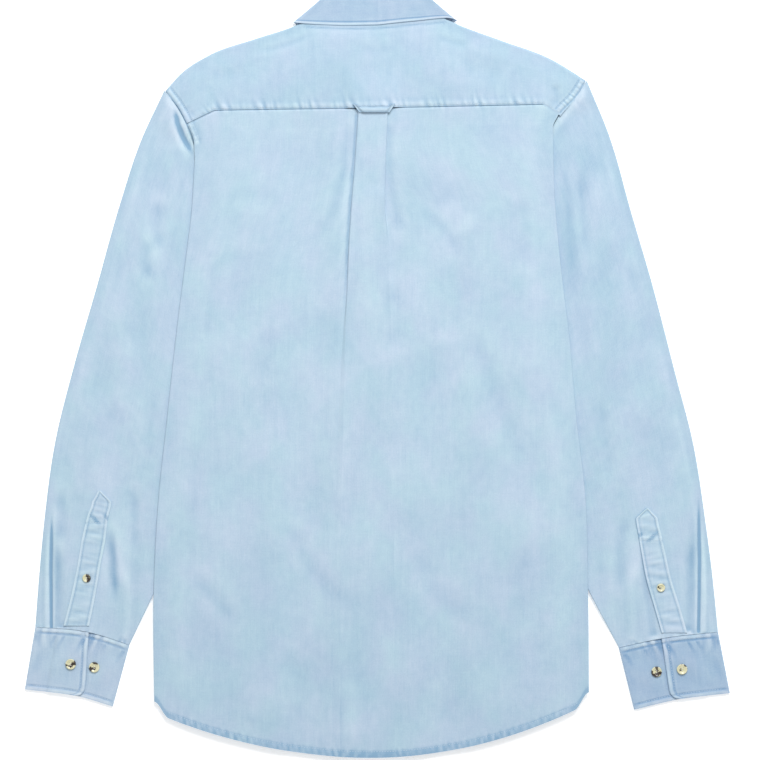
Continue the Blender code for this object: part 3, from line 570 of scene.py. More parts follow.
def blurred(values: Array, reach: int) -> Array:
    """Average a grid of numbers over a square of reach cells each way."""
    padded = np.pad(values, reach, mode="edge")
    for axis in (0, 1):
        total = np.cumsum(np.insert(padded, 0, 0.0, axis=axis), axis=axis)
        size = 2 * reach + 1
        high = np.take(total, np.arange(size, total.shape[axis]), axis=axis)
        low = np.take(total, np.arange(0, total.shape[axis] - size), axis=axis)
        padded = (high - low) / size
    return padded


@dataclass
class Sheet:
    """One piece of cloth as two grids of places, its outer and its inner face.

    The wall between them is closed round every edge. Faces = every cell of both grids, and a rim
    wherever a cell has no neighbour.
    """

    name: str
    outer: Array
    inner: Array
    uv: Array  # along the weft and along the warp, in millimetres
    relief: Array | None = None  # heights whose crests wear pale and whose hollows get painted shade
    fade: Array | None = None  # extra wear, and painted light and shade, above 0 where paler
    ring: bool = False
    keep: Array | None = None

    def cells(self) -> Array:
        """Which cells of the grid are cloth."""
        rows, columns = self.outer.shape[:2]
        shape = (rows - 1, columns if self.ring else columns - 1)
        return np.ones(shape, bool) if self.keep is None else self.keep

    def faces(self) -> Array:
        """The closed wall's faces, as rows of four vertex numbers."""
        cells = self.cells()
        columns = self.outer.shape[1]
        r, c = np.nonzero(cells)
        following = (c + 1) % columns
        corners = (r * columns + c, r * columns + following, (r + 1) * columns + following,
                   (r + 1) * columns + c)
        other = self.outer.shape[0] * columns
        parts = [np.stack(corners, axis=1), np.stack(corners[::-1], axis=1) + other]
        beyond = np.pad(cells, ((1, 1), (0, 0)))
        beyond = np.pad(beyond, ((0, 0), (1, 1)), mode="wrap" if self.ring else "constant")
        steps = ((0, 1), (1, 2), (2, 1), (1, 0))
        for k, (down, across) in enumerate(steps):
            edge = ~beyond[r + down, c + across]
            a, b = corners[k][edge], corners[(k + 1) % 4][edge]
            parts.append(grid(b, a, a + other, b + other))
        return np.concatenate(parts)

    def wear_and_shade(self) -> Array:
        """Crests above the cloth round it wear pale, hollows get painted shade, plus the fade."""
        wear_and_shade = np.zeros(self.outer.shape[:2])
        if self.relief is not None:
            # crests worn pale and painted shade in hollows, by the height above the cloth round it
            wear_and_shade = wear_and_shade + np.clip((self.relief - blurred(self.relief, 3)) / 0.45, -1, 1)
        return wear_and_shade if self.fade is None else wear_and_shade + self.fade

    def build(self) -> Piece:
        """Make the piece, with its weave's UV map and its wear and painted shade."""
        vertices = np.concatenate([self.outer.reshape(-1, 3), self.inner.reshape(-1, 3)])
        faces = self.faces()
        used, compact = np.unique(faces, return_inverse=True)
        piece = new_object(self.name, vertices[used], compact.reshape(faces.shape))
        piece.data.set_sharp_from_angle(angle=math.radians(60))
        write_uv(piece, np.tile(self.uv.reshape(-1, 2), (2, 1))[used] * MM)
        write_point_values(piece, "wear_and_shade", np.tile(self.wear_and_shade().ravel(), 2)[used])
        return piece


def offset(place: Array, way: Array, cloth: float) -> tuple[Array, Array]:
    """The outer and inner face of a ply from its middle, half the wall each way."""
    return place + way * cloth / 2, place - way * cloth / 2


class HeightMap:
    """The shirt's uppermost surface over a grid of places, for what is sewn on it."""

    def __init__(self, half_width: float = 400.0, half_height: float = 440.0,
                 step: float = 1.0) -> None:
        """Start with nothing on the map.

        Args:
            half_width, half_height: the map's reach from the tables' zero.
            step: the grid's spacing.
        """
        self.low = np.array([-half_width, -half_height])
        self.step = step
        shape = np.ceil(-2 * self.low / step).astype(int) + 1
        self.z = np.full(tuple(shape), -1.0)

    def add(self, grid: Array, fine: int = 4) -> None:
        """Lay a grid of places on the map, which keeps the higher of the old and the new.

        Args:
            grid: rows x columns x 3.
            fine: parts that each cell is split into, along each side.
        """
        share = np.arange(fine) / fine
        a, b, c, d = grid[:-1, :-1], grid[:-1, 1:], grid[1:, :-1], grid[1:, 1:]
        s, t = (k[:, :, None, None, None] for k in np.meshgrid(share, share))
        places = (a * (1 - s) + b * s) * (1 - t) + (c * (1 - s) + d * s) * t
        places = places.reshape(-1, 3)
        i, j = np.round((places[:, :2] - self.low) / self.step).astype(int).T
        np.maximum.at(self.z, (i, j), places[:, 2])

    def fill(self) -> None:
        """Carry the surface one step past its edges, so that places on an edge read true."""
        around = [np.roll(self.z, shift, axis=axis) for axis in (0, 1) for shift in (-1, 1)]
        self.z = np.where(self.z < 0, np.maximum.reduce(around), self.z)

    def height(self, x: Array, y: Array) -> Array:
        """Read the surface at places, between the four nearest points of the grid."""
        p, q = (x - self.low[0]) / self.step, (y - self.low[1]) / self.step
        i, j = np.floor(p).astype(int), np.floor(q).astype(int)
        s, t = p - i, q - j
        z = self.z
        near = z[i, j] * (1 - t) + z[i, j + 1] * t
        return near * (1 - s) + (z[i + 1, j] * (1 - t) + z[i + 1, j + 1] * t) * s

    def slopes(self, x: Array, y: Array) -> tuple[Array, Array]:
        """How steeply the surface rises along x and along y."""
        d = 1.2 * self.step
        along_x = (self.height(x + d, y) - self.height(x - d, y)) / (2 * d)
        along_y = (self.height(x, y + d) - self.height(x, y - d)) / (2 * d)
        return np.clip(along_x, -0.8, 0.8), np.clip(along_y, -0.8, 0.8)


TOP = HeightMap()


# Finishes


class Nodes:
    """A short way to write a material's nodes."""

    def __init__(self, name: str) -> None:
        """Start a material with a Principled shader."""
        self.material = bpy.data.materials.new(name)
        self.material.use_nodes = True
        self.tree = self.material.node_tree
        self.shader = self.tree.nodes["Principled BSDF"]

    def add(self, kind: str, inputs: dict | None = None, **settings: object) -> bpy.types.Node:
        """Add one node.

        Args:
            kind: the node's type without its ShaderNode prefix.
            inputs: socket to value, or to another node's output.
            settings: the node's own settings.

        Returns:
            The node.
        """
        node = self.tree.nodes.new("ShaderNode" + kind)
        for key, value in settings.items():
            setattr(node, key, value)
        for key, value in (inputs or {}).items():
            self.set(node, key, value)
        return node

    def set(self, node: bpy.types.Node, key: str | int, value: object) -> None:
        """Give a socket a value, or link another node's output to it."""
        if isinstance(value, Socket):
            self.tree.links.new(value, node.inputs[key])
        else:
            node.inputs[key].default_value = value

    def look(self, inputs: dict) -> None:
        """Set the shader's own sockets."""
        for key, value in inputs.items():
            self.set(self.shader, key, value)

    def maths(self, operation: str, a: object, b: object = 0.0) -> Socket:
        """Work out one sum of two values or sockets."""
        return self.add("Math", {0: a, 1: b}, operation=operation).outputs[0]

    def noise(self, vector: Socket, scale: tuple[float, float, float], detail: float = 2.0,
              rough: float = 0.5) -> Socket:
        """Noise about 0, from -0.5 to 0.5, stretched by a scale for each axis."""
        placed = self.add("Mapping", {"Vector": vector, "Scale": scale}).outputs[0]
        made = self.add("TexNoise", {"Vector": placed, "Scale": 1.0, "Detail": detail,
                                     "Roughness": rough})
        return self.maths("SUBTRACT", made.outputs["Fac"], 0.5)

    def mix(self, factor: object, a: object, b: object) -> Socket:
        """Mix two colours."""
        node = self.add("Mix", {"Factor": factor}, data_type="RGBA")
        self.set(node, 6, a)
        self.set(node, 7, b)
        return node.outputs[2]


Colour = tuple[float, float, float, float]
WHITE: Colour = (1.0, 1.0, 1.0, 1.0)


@dataclass(frozen=True)
class Denim:
    """Light-washed denim: blue warp over pale weft in a fine twill, streaked and mottled.

    Colour = a mix of worn and deep blue by the sum of warp streaks, weft streaks, cloudy wash,
    speckle, twill and the piece's own wear and painted light and shade.
    """

    name: str
    pale: Colour = (0.605, 0.708, 0.828, 1.0)
    cool: Colour = (0.555, 0.722, 0.80, 1.0)  # patches of the pale cloth that lean to green
    deep: Colour = (0.24, 0.40, 0.565, 1.0)
    shade: float = 0.37  # how deep the cloth is on the whole, from 0 to 1
    twill_pitch: float = 0.75
    streak: float = 0.23
    wash: float = 0.34
    speckle: float = 0.36
    worn_and_shaded: float = 0.34  # how far crests wear pale, and how strongly painted light and shade show
    rough: float = 0.92

    def material(self) -> bpy.types.Material:
        """Make the denim's material."""
        n = Nodes(self.name)
        uv = n.add("UVMap", uv_map="cloth").outputs[0]
        warp = n.noise(uv, (900, 36, 1), 3.0, 0.6)
        long_warp = n.noise(uv, (260, 9, 1), 2.0)
        weft = n.noise(uv, (60, 850, 1), 2.0)
        cloud = n.noise(uv, (22, 16, 1), 3.0, 0.55)
        patch = n.noise(uv, (120, 85, 1), 2.0, 0.6)
        speck = n.noise(uv, (700, 560, 1), 2.0, 0.7)
        turn = math.tau / (self.twill_pitch * MM)
        dot = n.add("VectorMath", {0: uv, 1: (turn, turn * 0.6, 0)}, operation="DOT_PRODUCT")
        twill = n.maths("SINE", dot.outputs["Value"])
        # the piece's stored wear and painted light and shade
        wear_and_shade = n.add("Attribute", attribute_name="wear_and_shade").outputs["Fac"]
        total = n.maths("MULTIPLY", warp, self.streak)
        for part, share in ((long_warp, 0.5 * self.streak), (weft, 0.5 * self.streak),
                            (cloud, self.wash), (patch, 0.8 * self.wash), (speck, self.speckle),
                            (twill, 0.04), (wear_and_shade, -self.worn_and_shaded)):
            total = n.maths("ADD", total, n.maths("MULTIPLY", part, share))
        factor = n.add("Clamp", {0: n.maths("ADD", total, self.shade)}).outputs[0]
        lean = n.add("MapRange", {"Value": n.noise(uv, (26, 19, 1), 2.0), "From Min": -0.14,
                                  "From Max": 0.14})
        pale = n.mix(lean.outputs[0], self.pale, self.cool)
        colour = n.mix(factor, pale, self.deep)
        height = n.maths("ADD", n.maths("MULTIPLY", twill, 0.25), warp)
        height = n.maths("ADD", height, n.maths("MULTIPLY", patch, 1.6))
        bump = n.add("Bump", {"Height": height, "Strength": 0.35, "Distance": 0.0006})
        n.look({"Base Color": colour, "Normal": bump.outputs[0], "Roughness": self.rough,
                "Specular IOR Level": 0.18, "Sheen Weight": 0.12, "Sheen Roughness": 0.6})
        return n.material


@dataclass(frozen=True)
class Thread:
    """Sewing thread, twisted from fine strands.

    Colour = from light to dark by a small noise, a little uneven along the seam.
    """

    name: str
    light: Colour
    dark: Colour

    def material(self) -> bpy.types.Material:
        """Make the thread's material."""
        n = Nodes(self.name)
        place = n.add("TexCoord").outputs["Object"]
        uneven = n.maths("ADD", n.noise(place, (300, 300, 300), 2.0), 0.4)
        colour = n.mix(uneven, self.light, self.dark)
        strand = n.add("TexWave", {"Vector": place, "Scale": 900.0}, bands_direction="DIAGONAL")
        bump = n.add("Bump", {"Height": strand.outputs["Fac"], "Strength": 0.3, "Distance": 0.0001})
        n.look({"Base Color": colour, "Normal": bump.outputs[0], "Roughness": 0.75})
        return n.material


@dataclass(frozen=True)
class Horn:
    """Button resin that looks like horn: cream and olive with dark brown patches.

    Colour = cream turning to olive by a soft noise, then to brown where a coarser noise is high.
    """

    name: str = "mottled_horn"
    cream: Colour = (0.80, 0.76, 0.56, 1.0)
    olive: Colour = (0.58, 0.58, 0.32, 1.0)
    brown: Colour = (0.035, 0.022, 0.015, 1.0)

    def material(self) -> bpy.types.Material:
        """Make the button's material."""
        n = Nodes(self.name)
        place = n.add("TexCoord").outputs["Object"]
        soft = n.maths("ADD", n.noise(place, (260, 260, 90), 2.0), 0.45)
        body = n.mix(n.add("Clamp", {0: soft}).outputs[0], self.cream, self.olive)
        patch = n.noise(place, (175, 175, 50), 2.0, 0.5)
        edge = n.add("MapRange", {"Value": patch, "From Min": 0.015, "From Max": 0.07})
        colour = n.mix(edge.outputs[0], body, self.brown)
        bump = n.add("Bump", {"Height": patch, "Strength": 0.15, "Distance": 0.0002})
        n.look({"Base Color": colour, "Normal": bump.outputs[0], "Roughness": 0.28,
                "Coat Weight": 0.35, "Coat Roughness": 0.12})
        return n.material


class Slot(Enum):
    """The record's material slots."""

    DENIM = "denim"
    TRIM = "denim_trim"
    HORN = "horn_button"


class Held(Enum):
    """How a sheet of cloth lies."""

    LAID = "laid"
    FOLDED = "folded"


@dataclass(frozen=True)
class Cut:
    """The size that a panel is cut to, in metres, and how it lies."""

    width: float
    length: float
    area: float
    held: Held
    rests_on: tuple[str, ...]


class Wardrobe:
    """The materials, made once, and the steps that every finished piece takes."""

    def __init__(self) -> None:
        """Make each finish's material."""
        self.panel = Denim("washed_denim").material()
        self.trim = Denim("doubled_denim", pale=(0.60, 0.69, 0.80, 1.0),
                          cool=(0.56, 0.70, 0.79, 1.0), deep=(0.20, 0.345, 0.54, 1.0),
                          shade=0.41, wash=0.26).material()
        self.thread = Thread("sewing_thread", light=(0.70, 0.80, 0.87, 1.0),
                             dark=(0.50, 0.63, 0.74, 1.0)).material()
        self.button_thread = Thread("button_thread", light=(0.90, 0.90, 0.87, 1.0),
                                    dark=(0.74, 0.75, 0.72, 1.0)).material()
        self.horn = Horn().material()

    def dress(self, piece: Piece, material: bpy.types.Material, slot: Slot,
              *nodes: str) -> Piece:
        """Give a piece its material and body, and hide the solids that it stands for.

        Args:
            piece: the piece.
            material: its finish.
            slot: not used.
            nodes: the frame's nodes that it replaces.

        Returns:
            The same piece.
        """
        piece.data.materials.append(material)
        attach(piece, "root")
        if nodes:
            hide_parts(*nodes)
        triangles = sum(len(p.vertices) - 2 for p in piece.data.polygons)
        log.info("%s: %d triangles", piece.name, triangles)
        return piece

    def sew(self, sheet: Sheet, node: str, top: Array | None = None,
            doubled: bool = False) -> Piece:
        """Make a panel as a sheet of its cut.

        Args:
            sheet: the panel's two faces.
            node: the frame's node that it replaces.
            top: its upper face, where later pieces lie on it.
            doubled: whether it is trim, of doubled cloth.

        Returns:
            The piece.
        """
        piece = sheet.build()
        if top is not None:
            TOP.add(top)
        if doubled:
            self.dress(piece, self.trim, Slot.TRIM, node)
        else:
            self.dress(piece, self.panel, Slot.DENIM, node)
        return piece


# The upper cloth's creases, shared by the back and the yoke


SEAM_LINE = Route(grid(YOKE_SEAM.columns["x"], YOKE_SEAM.columns["y"]))
BAND_END = {LEFT: 234.0, RIGHT: 270.0}  # height where the armhole's seam goes under the body's side


TOPSTITCH = 2.0  # from the yoke's seam to its stitches
ARMHOLE_STITCH = 6.9  # from the armhole's seam to its stitches


def armhole_route(side: Side, body: float) -> Route:
    """The part of the armhole's seam that shows, moved towards the body by a distance."""
    at = np.linspace(0, 0.45, 60)
    out, y = (ARMHOLE[side].curve("along", name, at) for name in ("out", "y"))
    shown = y > BAND_END[side]
    return Route(grid(out * side.value, y)[shown]).moved(-side.value * body)


def along_route(route: Route, depth: float, width: float, ease: float = 0.02) -> Crease:
    """A ridge or a groove all the way along a seam."""
    return Crease(tuple(map(tuple, route.points)), depth, width, ease=ease, ease_end=ease)


# Raised and stitched bands beside the armholes, and the edge of the collar's seam on the yoke.
SEAM_RELIEF: Relief = [
    *(along_route(armhole_route(side, body), depth, width) for side in Side
      for body, depth, width in ((0.4, -0.55, 0.9), (3.4, 0.8, 2.3), (ARMHOLE_STITCH, -0.55, 0.9))),
    Gathers(armhole_route(RIGHT, 3.4), 0.9, 4.2, 2.6, 2.6, seed=0.6),
    Gathers(armhole_route(LEFT, 3.4), 0.3, 5.6, 3.0, 3.0, seed=2.4),
    Crease(((-82, 365), (-45, 362.4), (0, 362.8), (40, 366.8), (77, 370)), -0.6, 0.9, ease=0.05),
    Crease(((190, 304), (193, 290), (192, 276)), -1.3, 5),
    Crease(((-196, 268), (-203, 273), (-206, 281)), -0.6, 3),
]

# The creases of the yoke and the back.
BODY_CREASES: Relief = [
    # the yoke
    Crease(((-66, 358), (-92, 348), (-114, 341), (-139, 340)), -1.1, 4.5),
    Crease(((-196, 320), (-165, 314), (-136, 314)), -0.6, 7),
    Crease(((60, 356), (80, 349), (102, 343)), -0.9, 5),
    Crease(((86, 321), (112, 318), (140, 311)), -1.2, 12),
    Crease(((-26, 341), (0, 339), (22, 341)), -0.5, 6),
    Crease(((-120, 322), (-60, 327), (-10, 316)), 0.5, 16),
    Crease(((30, 330), (60, 322), (88, 334)), 0.5, 13),
    # below the yoke's middle
    Crease(((-28, 266), (-35, 211), (-49, 162), (-67, 136), (-88, 122)), -1.3, 8, ease=0.1,
           ease_end=0.5),
    Crease(((12, 264), (13, 205), (18, 172), (26, 142)), -0.9, 7, ease=0.1),
    Crease(((19, 96), (21, 50), (19, 10)), -1.1, 13),
    Crease(((-8, 215), (-9, 120), (-10, 30)), 0.9, 13),
    # the right half
    Crease(((48, 178), (56, 160), (68, 150), (80, 133), (93, 118)), -0.5, 7),
    Crease(((72, 182), (88, 160), (104, 140)), 0.8, 14),
    Crease(((93, 52), (116, 5), (127, -32), (143, -70), (156, -118)), -1.5, 14),
    Crease(((60, 52), (74, 8), (88, -40)), 0.8, 22),
    Crease(((150, 30), (168, -30), (178, -90)), 0.7, 18),
    Crease(((150, 190), (158, 150), (160, 100)), -0.7, 14),
    # the left half
    Crease(((-174, 138), (-180, 80), (-188, 12)), -1.1, 12),
    Crease(((-114, 46), (-120, 16), (-129, -20)), -0.5, 12),
    Crease(((-132, 188), (-138, 150), (-146, 112)), 0.9, 22),
    Crease(((-150, 20), (-160, -50), (-166, -120)), 0.7, 20),
    Crease(((-60, 96), (-74, 40), (-82, -20)), 0.6, 18),
    Crease(((-206, -70), (-196, -130), (-200, -180)), -0.8, 13),
    # the tail
    Crease(((-118, -156), (-84, -189), (-73, -216), (-51, -243), (-30, -254), (-6, -252)), -0.5, 9),
    Crease(((-104, -150), (-62, -196), (-36, -232)), 0.4, 15),
    Crease(((-204, -220), (-170, -254), (-152, -284)), -0.7, 9),
    Crease(((40, -190), (62, -240), (104, -282)), -0.8, 14),
    Crease(((168, -180), (150, -232), (158, -290)), -0.7, 13),
    Crease(((-98, -300), (-84, -340), (-88, -400)), -0.7, 12),
    Crease(((-36, -320), (-26, -370), (-30, -420)), 0.7, 12),
    Crease(((70, -320), (60, -366), (64, -410)), 0.6, 12),
    Crease(((-20, -60), (-28, -120), (-24, -180)), -0.6, 16),
]

# The yoke's topstitched and puckered seam, and the fold pressed along the pleat's left edge.
BODY_SEAMS: Relief = [
    along_route(SEAM_LINE, -0.35, 1.2),
    along_route(SEAM_LINE.moved(4.2), 0.3, 2.6),
    Gathers(SEAM_LINE.moved(TOPSTITCH), 0.95, 7.6, 4.5, 2.5, slant=0.3, seed=1.7),
    Crease(((-22, 272), (-26, 218), (-30, 168), (-32.5, 128), (-34.5, 80), (-37, 30)), -1.0, 1.5,
           ease=0.02, ease_end=0.6),
]


@dataclass
class Drape:
    """How the back and the yoke lift off the plies below them.

    Height = (loft + slow waves + strength x creases + seams), faded to 0 at the side folds and the
    shoulders.
    """

    loft: float = 1.5
    wave: float = 0.32
    side_fade: float = 34.0
    shoulder_fade: float = 22.0
    strength: float = 0.62  # of the creases
    relief: Relief = field(default_factory=lambda: BODY_CREASES)
    seams: Relief = field(default_factory=lambda: BODY_SEAMS)

    def waves(self, x: Array, y: Array) -> Array:
        """Slow uneven swells: three sines on slanted axes with unrelated lengths."""
        total = np.sin(x / 13.1 + y / 41.0 + 0.7) * 0.5 + np.sin(x / 23.7 - y / 31.0 + 2.2)
        third = 0.8 * np.sin(x / 47.0 + y / 19.3 + 4.0) * np.sin(y / 61.0 + 1.1)
        return self.wave * (total + third)

    def height(self, x: Array, y: Array) -> Array:
        """How far the upper cloth is lifted at each place."""
        limit = np.zeros(x.shape)
        for side in Side:
            above = ARMHOLE[side].curve("y", "out", y)
            below = SIDE_EDGE[side].curve("y", "out", y)
            limit = np.where(x * side.value >= 0, np.where(y > 262, above, below), limit)
        room = smooth((limit - np.abs(x)) / self.side_fade)
        room = room * smooth((SHOULDER.curve("x", "y", x) - y) / self.shoulder_fade)
        lift = self.loft + self.waves(x, y) + self.strength * relief_height(self.relief, x, y)
        lift = lift + relief_height(self.seams, x, y)
        return np.maximum(lift, -0.3) * room + relief_height(SEAM_RELIEF, x, y)


DRAPE = Drape()


# Panels


Path = tuple[Array, Array]


@dataclass
class SideTuck:
    """The fold that turns a body panel's side under.

    Path = the seam allowance, the tuck, then an arc up to the panel, set so that the outermost
    point of the fold is on the side's edge.
    """

    radius: float = 0.7
    closing: float = 1.2  # how far the free end comes towards the other panel's
    closing_width: float = 9.0
    parts: tuple[int, int, int] = (3, 12, 8)
    slope: float = 0.35  # of its hem, as it goes in from the fold

    @property
    def columns(self) -> int:
        """Columns of the tuck before its arc begins."""
        return self.parts[0] + self.parts[1] + 1

    def path(self, side: Side, y: Array, inset: Array | float = 0.0) -> Path:
        """The tucked edge at each row's height, in distances out, from its free end inwards."""
        edge = SIDE_EDGE[side]
        turn = np.radians(edge.line("y", "turn", y))
        tuck = edge.line("y", "tuck", y)
        arc = np.maximum(self.radius * turn, 0.6)
        seam = np.minimum(self.closing_width, tuck / 2)
        tuck = np.maximum(tuck - inset, 1.2 * seam)
        level = np.zeros_like(y)
        a, b, c = self.parts
        points, headings = walk([(seam, level, a), (tuck - seam, level, b), (arc, -turn, c)], turn)
        closing = self.closing * smooth((-10 - y) / 40)
        points[:, : a + 1, 1] -= closing[:, None] * np.linspace(1, 0, a + 1)
        wall = LIE.cloth / 2 * np.sin(np.minimum(turn, math.pi / 2))
        outermost = edge.curve("y", "out", y) - inset - wall
        points[..., 0] -= (outermost + points[..., 0].min(axis=1))[:, None]
        points[..., 1] -= points[:, -1:, 1].copy()
        return points, headings


TUCK = SideTuck()


def join(first: Path, *rest: Array | Path) -> Path:
    """Join paths across a panel, with columns between them at the given shares of each run."""
    points, headings = [first[0]], [first[1]]
    for shares, (more, turned) in zip(rest[::2], rest[1::2]):
        start, end = points[-1][:, -1:], more[:, :1]
        points += [start + (end - start) * shares[None, :, None], more]
        headings += [np.zeros((len(more), len(shares))), turned]
    return np.concatenate(points, axis=1), np.concatenate(headings, axis=1)


def between(parts: int) -> Array:
    """Even shares of a run, without its two ends."""
    return np.linspace(0, 1, parts + 1)[1:-1]


def girth(points: Array) -> Array:
    """Distance along each row of a grid from its first place."""
    steps = np.linalg.norm(np.diff(points, axis=1), axis=2)
    return np.concatenate([np.zeros((len(points), 1)), np.cumsum(steps, axis=1)], axis=1)


def hem_height(x: Array, left: Array, right: Array) -> Array:
    """Height of the shirt-tail hem: its middle + rise x share out², and a rounded corner."""
    rise = np.where(x < (left + right) / 2, 48.0, 58.0)
    q = np.clip(np.abs(x - (left + right) / 2) / ((right - left) / 2), 0, 1)
    return LIE.hem_middle + rise * q**2 + 12.0 * smooth((q - 0.94) / 0.06)


@dataclass(frozen=True)
class HemFold:
    """A narrow hem, turned twice and stitched, which ropes a little.

    Height = a raised band + a groove at its stitches + slanted ripples along it.
    """

    depth: float = 7.0
    rise: float = 0.45
    ripple: float = 0.34
    pitch: float = 6.6

    def height(self, x: Array, from_edge: Array) -> Array:
        """How far the hem stands above the panel at each place."""
        band = smooth((self.depth + 0.8 - from_edge) / 1.4)
        groove = -0.55 * bell((from_edge - self.depth + 0.7) / 0.9)
        turn = math.tau / self.pitch
        wave = np.sin(turn * (x + 0.3 * from_edge) + 1.9 * np.sin(x / 17.0))
        wave = wave + 0.6 * np.sin(turn / 1.71 * (x - 0.4 * from_edge) + 2.0)
        reach = smooth((13 - from_edge) / 10)
        strength = 0.6 + 0.4 * np.sin(x / 29.0) * np.sin(x / 13.0 + 1.0)
        return self.rise * band + groove + self.ripple * wave * reach * strength


@dataclass
class Back:
    """The back: a broad panel with both sides folded under and a box pleat below the yoke."""

    pleat_top: float = 278.0
    side_ends: dict[Side, tuple[float, float]] = field(
        default_factory=lambda: {LEFT: (259.6, -363.0), RIGHT: (271.6, -353.0)})
    hem: HemFold = field(default_factory=HemFold)
    lap: float = 1.8  # how far the top edge goes under the yoke's
    drop: float = 1.45  # how far it goes down to do so
    pace: float = 1.7  # how much sooner the pleat's right fold dies out than its left one
    cut: Cut = Cut(0.597, 0.701, 0.375, Held.FOLDED, ("front_panel_left", "front_panel_right",
                                                      "sleeve_panel_left", "sleeve_panel_right"))

    def pleat_path(self, edge: Array, turn: Array, run: Array) -> Path:
        """One side of the box pleat, which folds back under its strip, in distances out."""
        turn = np.radians(turn)
        arc = np.maximum(LIE.pitch / 2 * turn, 0.5)
        level = np.zeros_like(turn)
        points, headings = walk([(arc, turn, 8), (run, level, 5), (arc, -turn, 8)], level)
        points[..., 0] += (LIE.pitch - edge - points[:, -1, 0])[:, None]
        return points, headings

    def build(self, wardrobe: Wardrobe) -> Piece:
        """Make the panel: rows from the yoke's seam to the hem, columns from side to side."""
        v = spread((0, 0.008, 7), (0.008, 0.035, 14), (0.035, 0.962, 122), (0.962, 1, 20))
        ends = {side: TUCK.path(side, top * (1 - v) + low * v)
                for side, (top, low) in self.side_ends.items()}
        below = v * (self.pleat_top - LIE.hem_middle)
        fold = {name: PLEAT.line("below", name, below) for name in ("left", "right", "turn", "run")}
        left_pleat = self.pleat_path(-fold["left"], fold["turn"], fold["run"])
        turn, run = (PLEAT.line("below", name, below * self.pace) for name in ("turn", "run"))
        right_pleat = mirrored(*self.pleat_path(fold["right"], turn, run))
        points, headings = join(ends[LEFT], between(82), left_pleat, between(14), right_pleat,
                                between(82), mirrored(*ends[RIGHT]))
        x = points[..., 0]
        left, right = ends[LEFT][0][:, -1:, 0], -ends[RIGHT][0][:, -1:, 0]
        share = np.clip((x - left) / (right - left), 0, 1)
        seam_x = YOKE_SEAM.first("x") * (1 - share) + YOKE_SEAM.last("x") * share
        seam = YOKE_SEAM.line("x", "y", seam_x)
        tail = hem_height(x, left, right)
        n = TUCK.columns
        tail[:, :n] += TUCK.slope * np.abs(x[:, :n] - left)
        tail[:, -n:] += TUCK.slope * np.abs(x[:, -n:] - right)
        y = (seam + self.lap) * (1 - v[:, None]) + tail * v[:, None]
        under_yoke = smooth((y - seam + 1.2) / 1.2)
        upper = np.ones(x.shape[1])
        upper[:n] = upper[-n:] = 0
        from_hem = y - tail
        inside = smooth((right - 12 - x) / 14) * smooth((x - left - 12) / 14)
        relief = (DRAPE.height(x, y) + self.hem.height(x, from_hem) * inside) * upper
        normal = grid(-np.sin(headings), np.zeros_like(x), np.cos(headings))
        middle = grid(x, y, points[..., 1] + LIE.back_level(x, y) + LIE.cloth / 2 + relief
                           - self.drop * under_yoke)
        outer, inner = offset(middle, normal, LIE.cloth)
        along = girth(grid(x, points[..., 1]))
        centre = along[:, x.shape[1] // 2][:, None]
        worn_and_shaded = 0.5 + 0.5 * np.sin(x / 19.0 + 1.0) * np.sin(x / 7.3)
        deep = 1.1 + 0.7 * bell((x - 10) / 75)
        edge = 0.5 * bell((from_hem - 1.0) / 1.2) * worn_and_shaded - deep * smooth((8.6 - from_hem) / 4.0)
        # the hem's worn edge and deeper band, and painted shade that darkens the back towards its
        # tail
        fade = edge * upper - 0.22 * smooth((-140 - y) / 160)
        sheet = Sheet("back_panel", outer, inner, grid(along - centre, y), relief, fade)
        return wardrobe.sew(sheet, "back", outer)


FRONT_NECK = (60.0, 336.0)  # the neck's end of the fronts' seams: distance out and height
FRONT_ARMHOLE = {LEFT: 258.0, RIGHT: 268.0}  # height of their other ends


def front_end(side: Side) -> Array:
    """Distance out of the armhole's end of a front's seam."""
    return ARMHOLE[side].curve("y", "out", np.array(FRONT_ARMHOLE[side]))


def front_top(side: Side, out: Array) -> Array:
    """Height of a front's upper edge: the collar's seam, then the seam to the yoke."""
    neck_out, neck_y = FRONT_NECK
    armhole_y, armhole_out = FRONT_ARMHOLE[side], front_end(side)
    seam = neck_y + (armhole_y - neck_y) * (out - neck_out) / (armhole_out - neck_out)
    columns = COLLAR_EDGE[side].columns
    half = columns["round"] > 0.6
    rows = grid(columns["neck_out"][half], columns["neck_y"][half])
    neck = Table("neck_out neck_y", *rows).curve("neck_out", "neck_y", out) - 3.2
    return np.where(out < neck_out, neck, seam - LIE.seam)


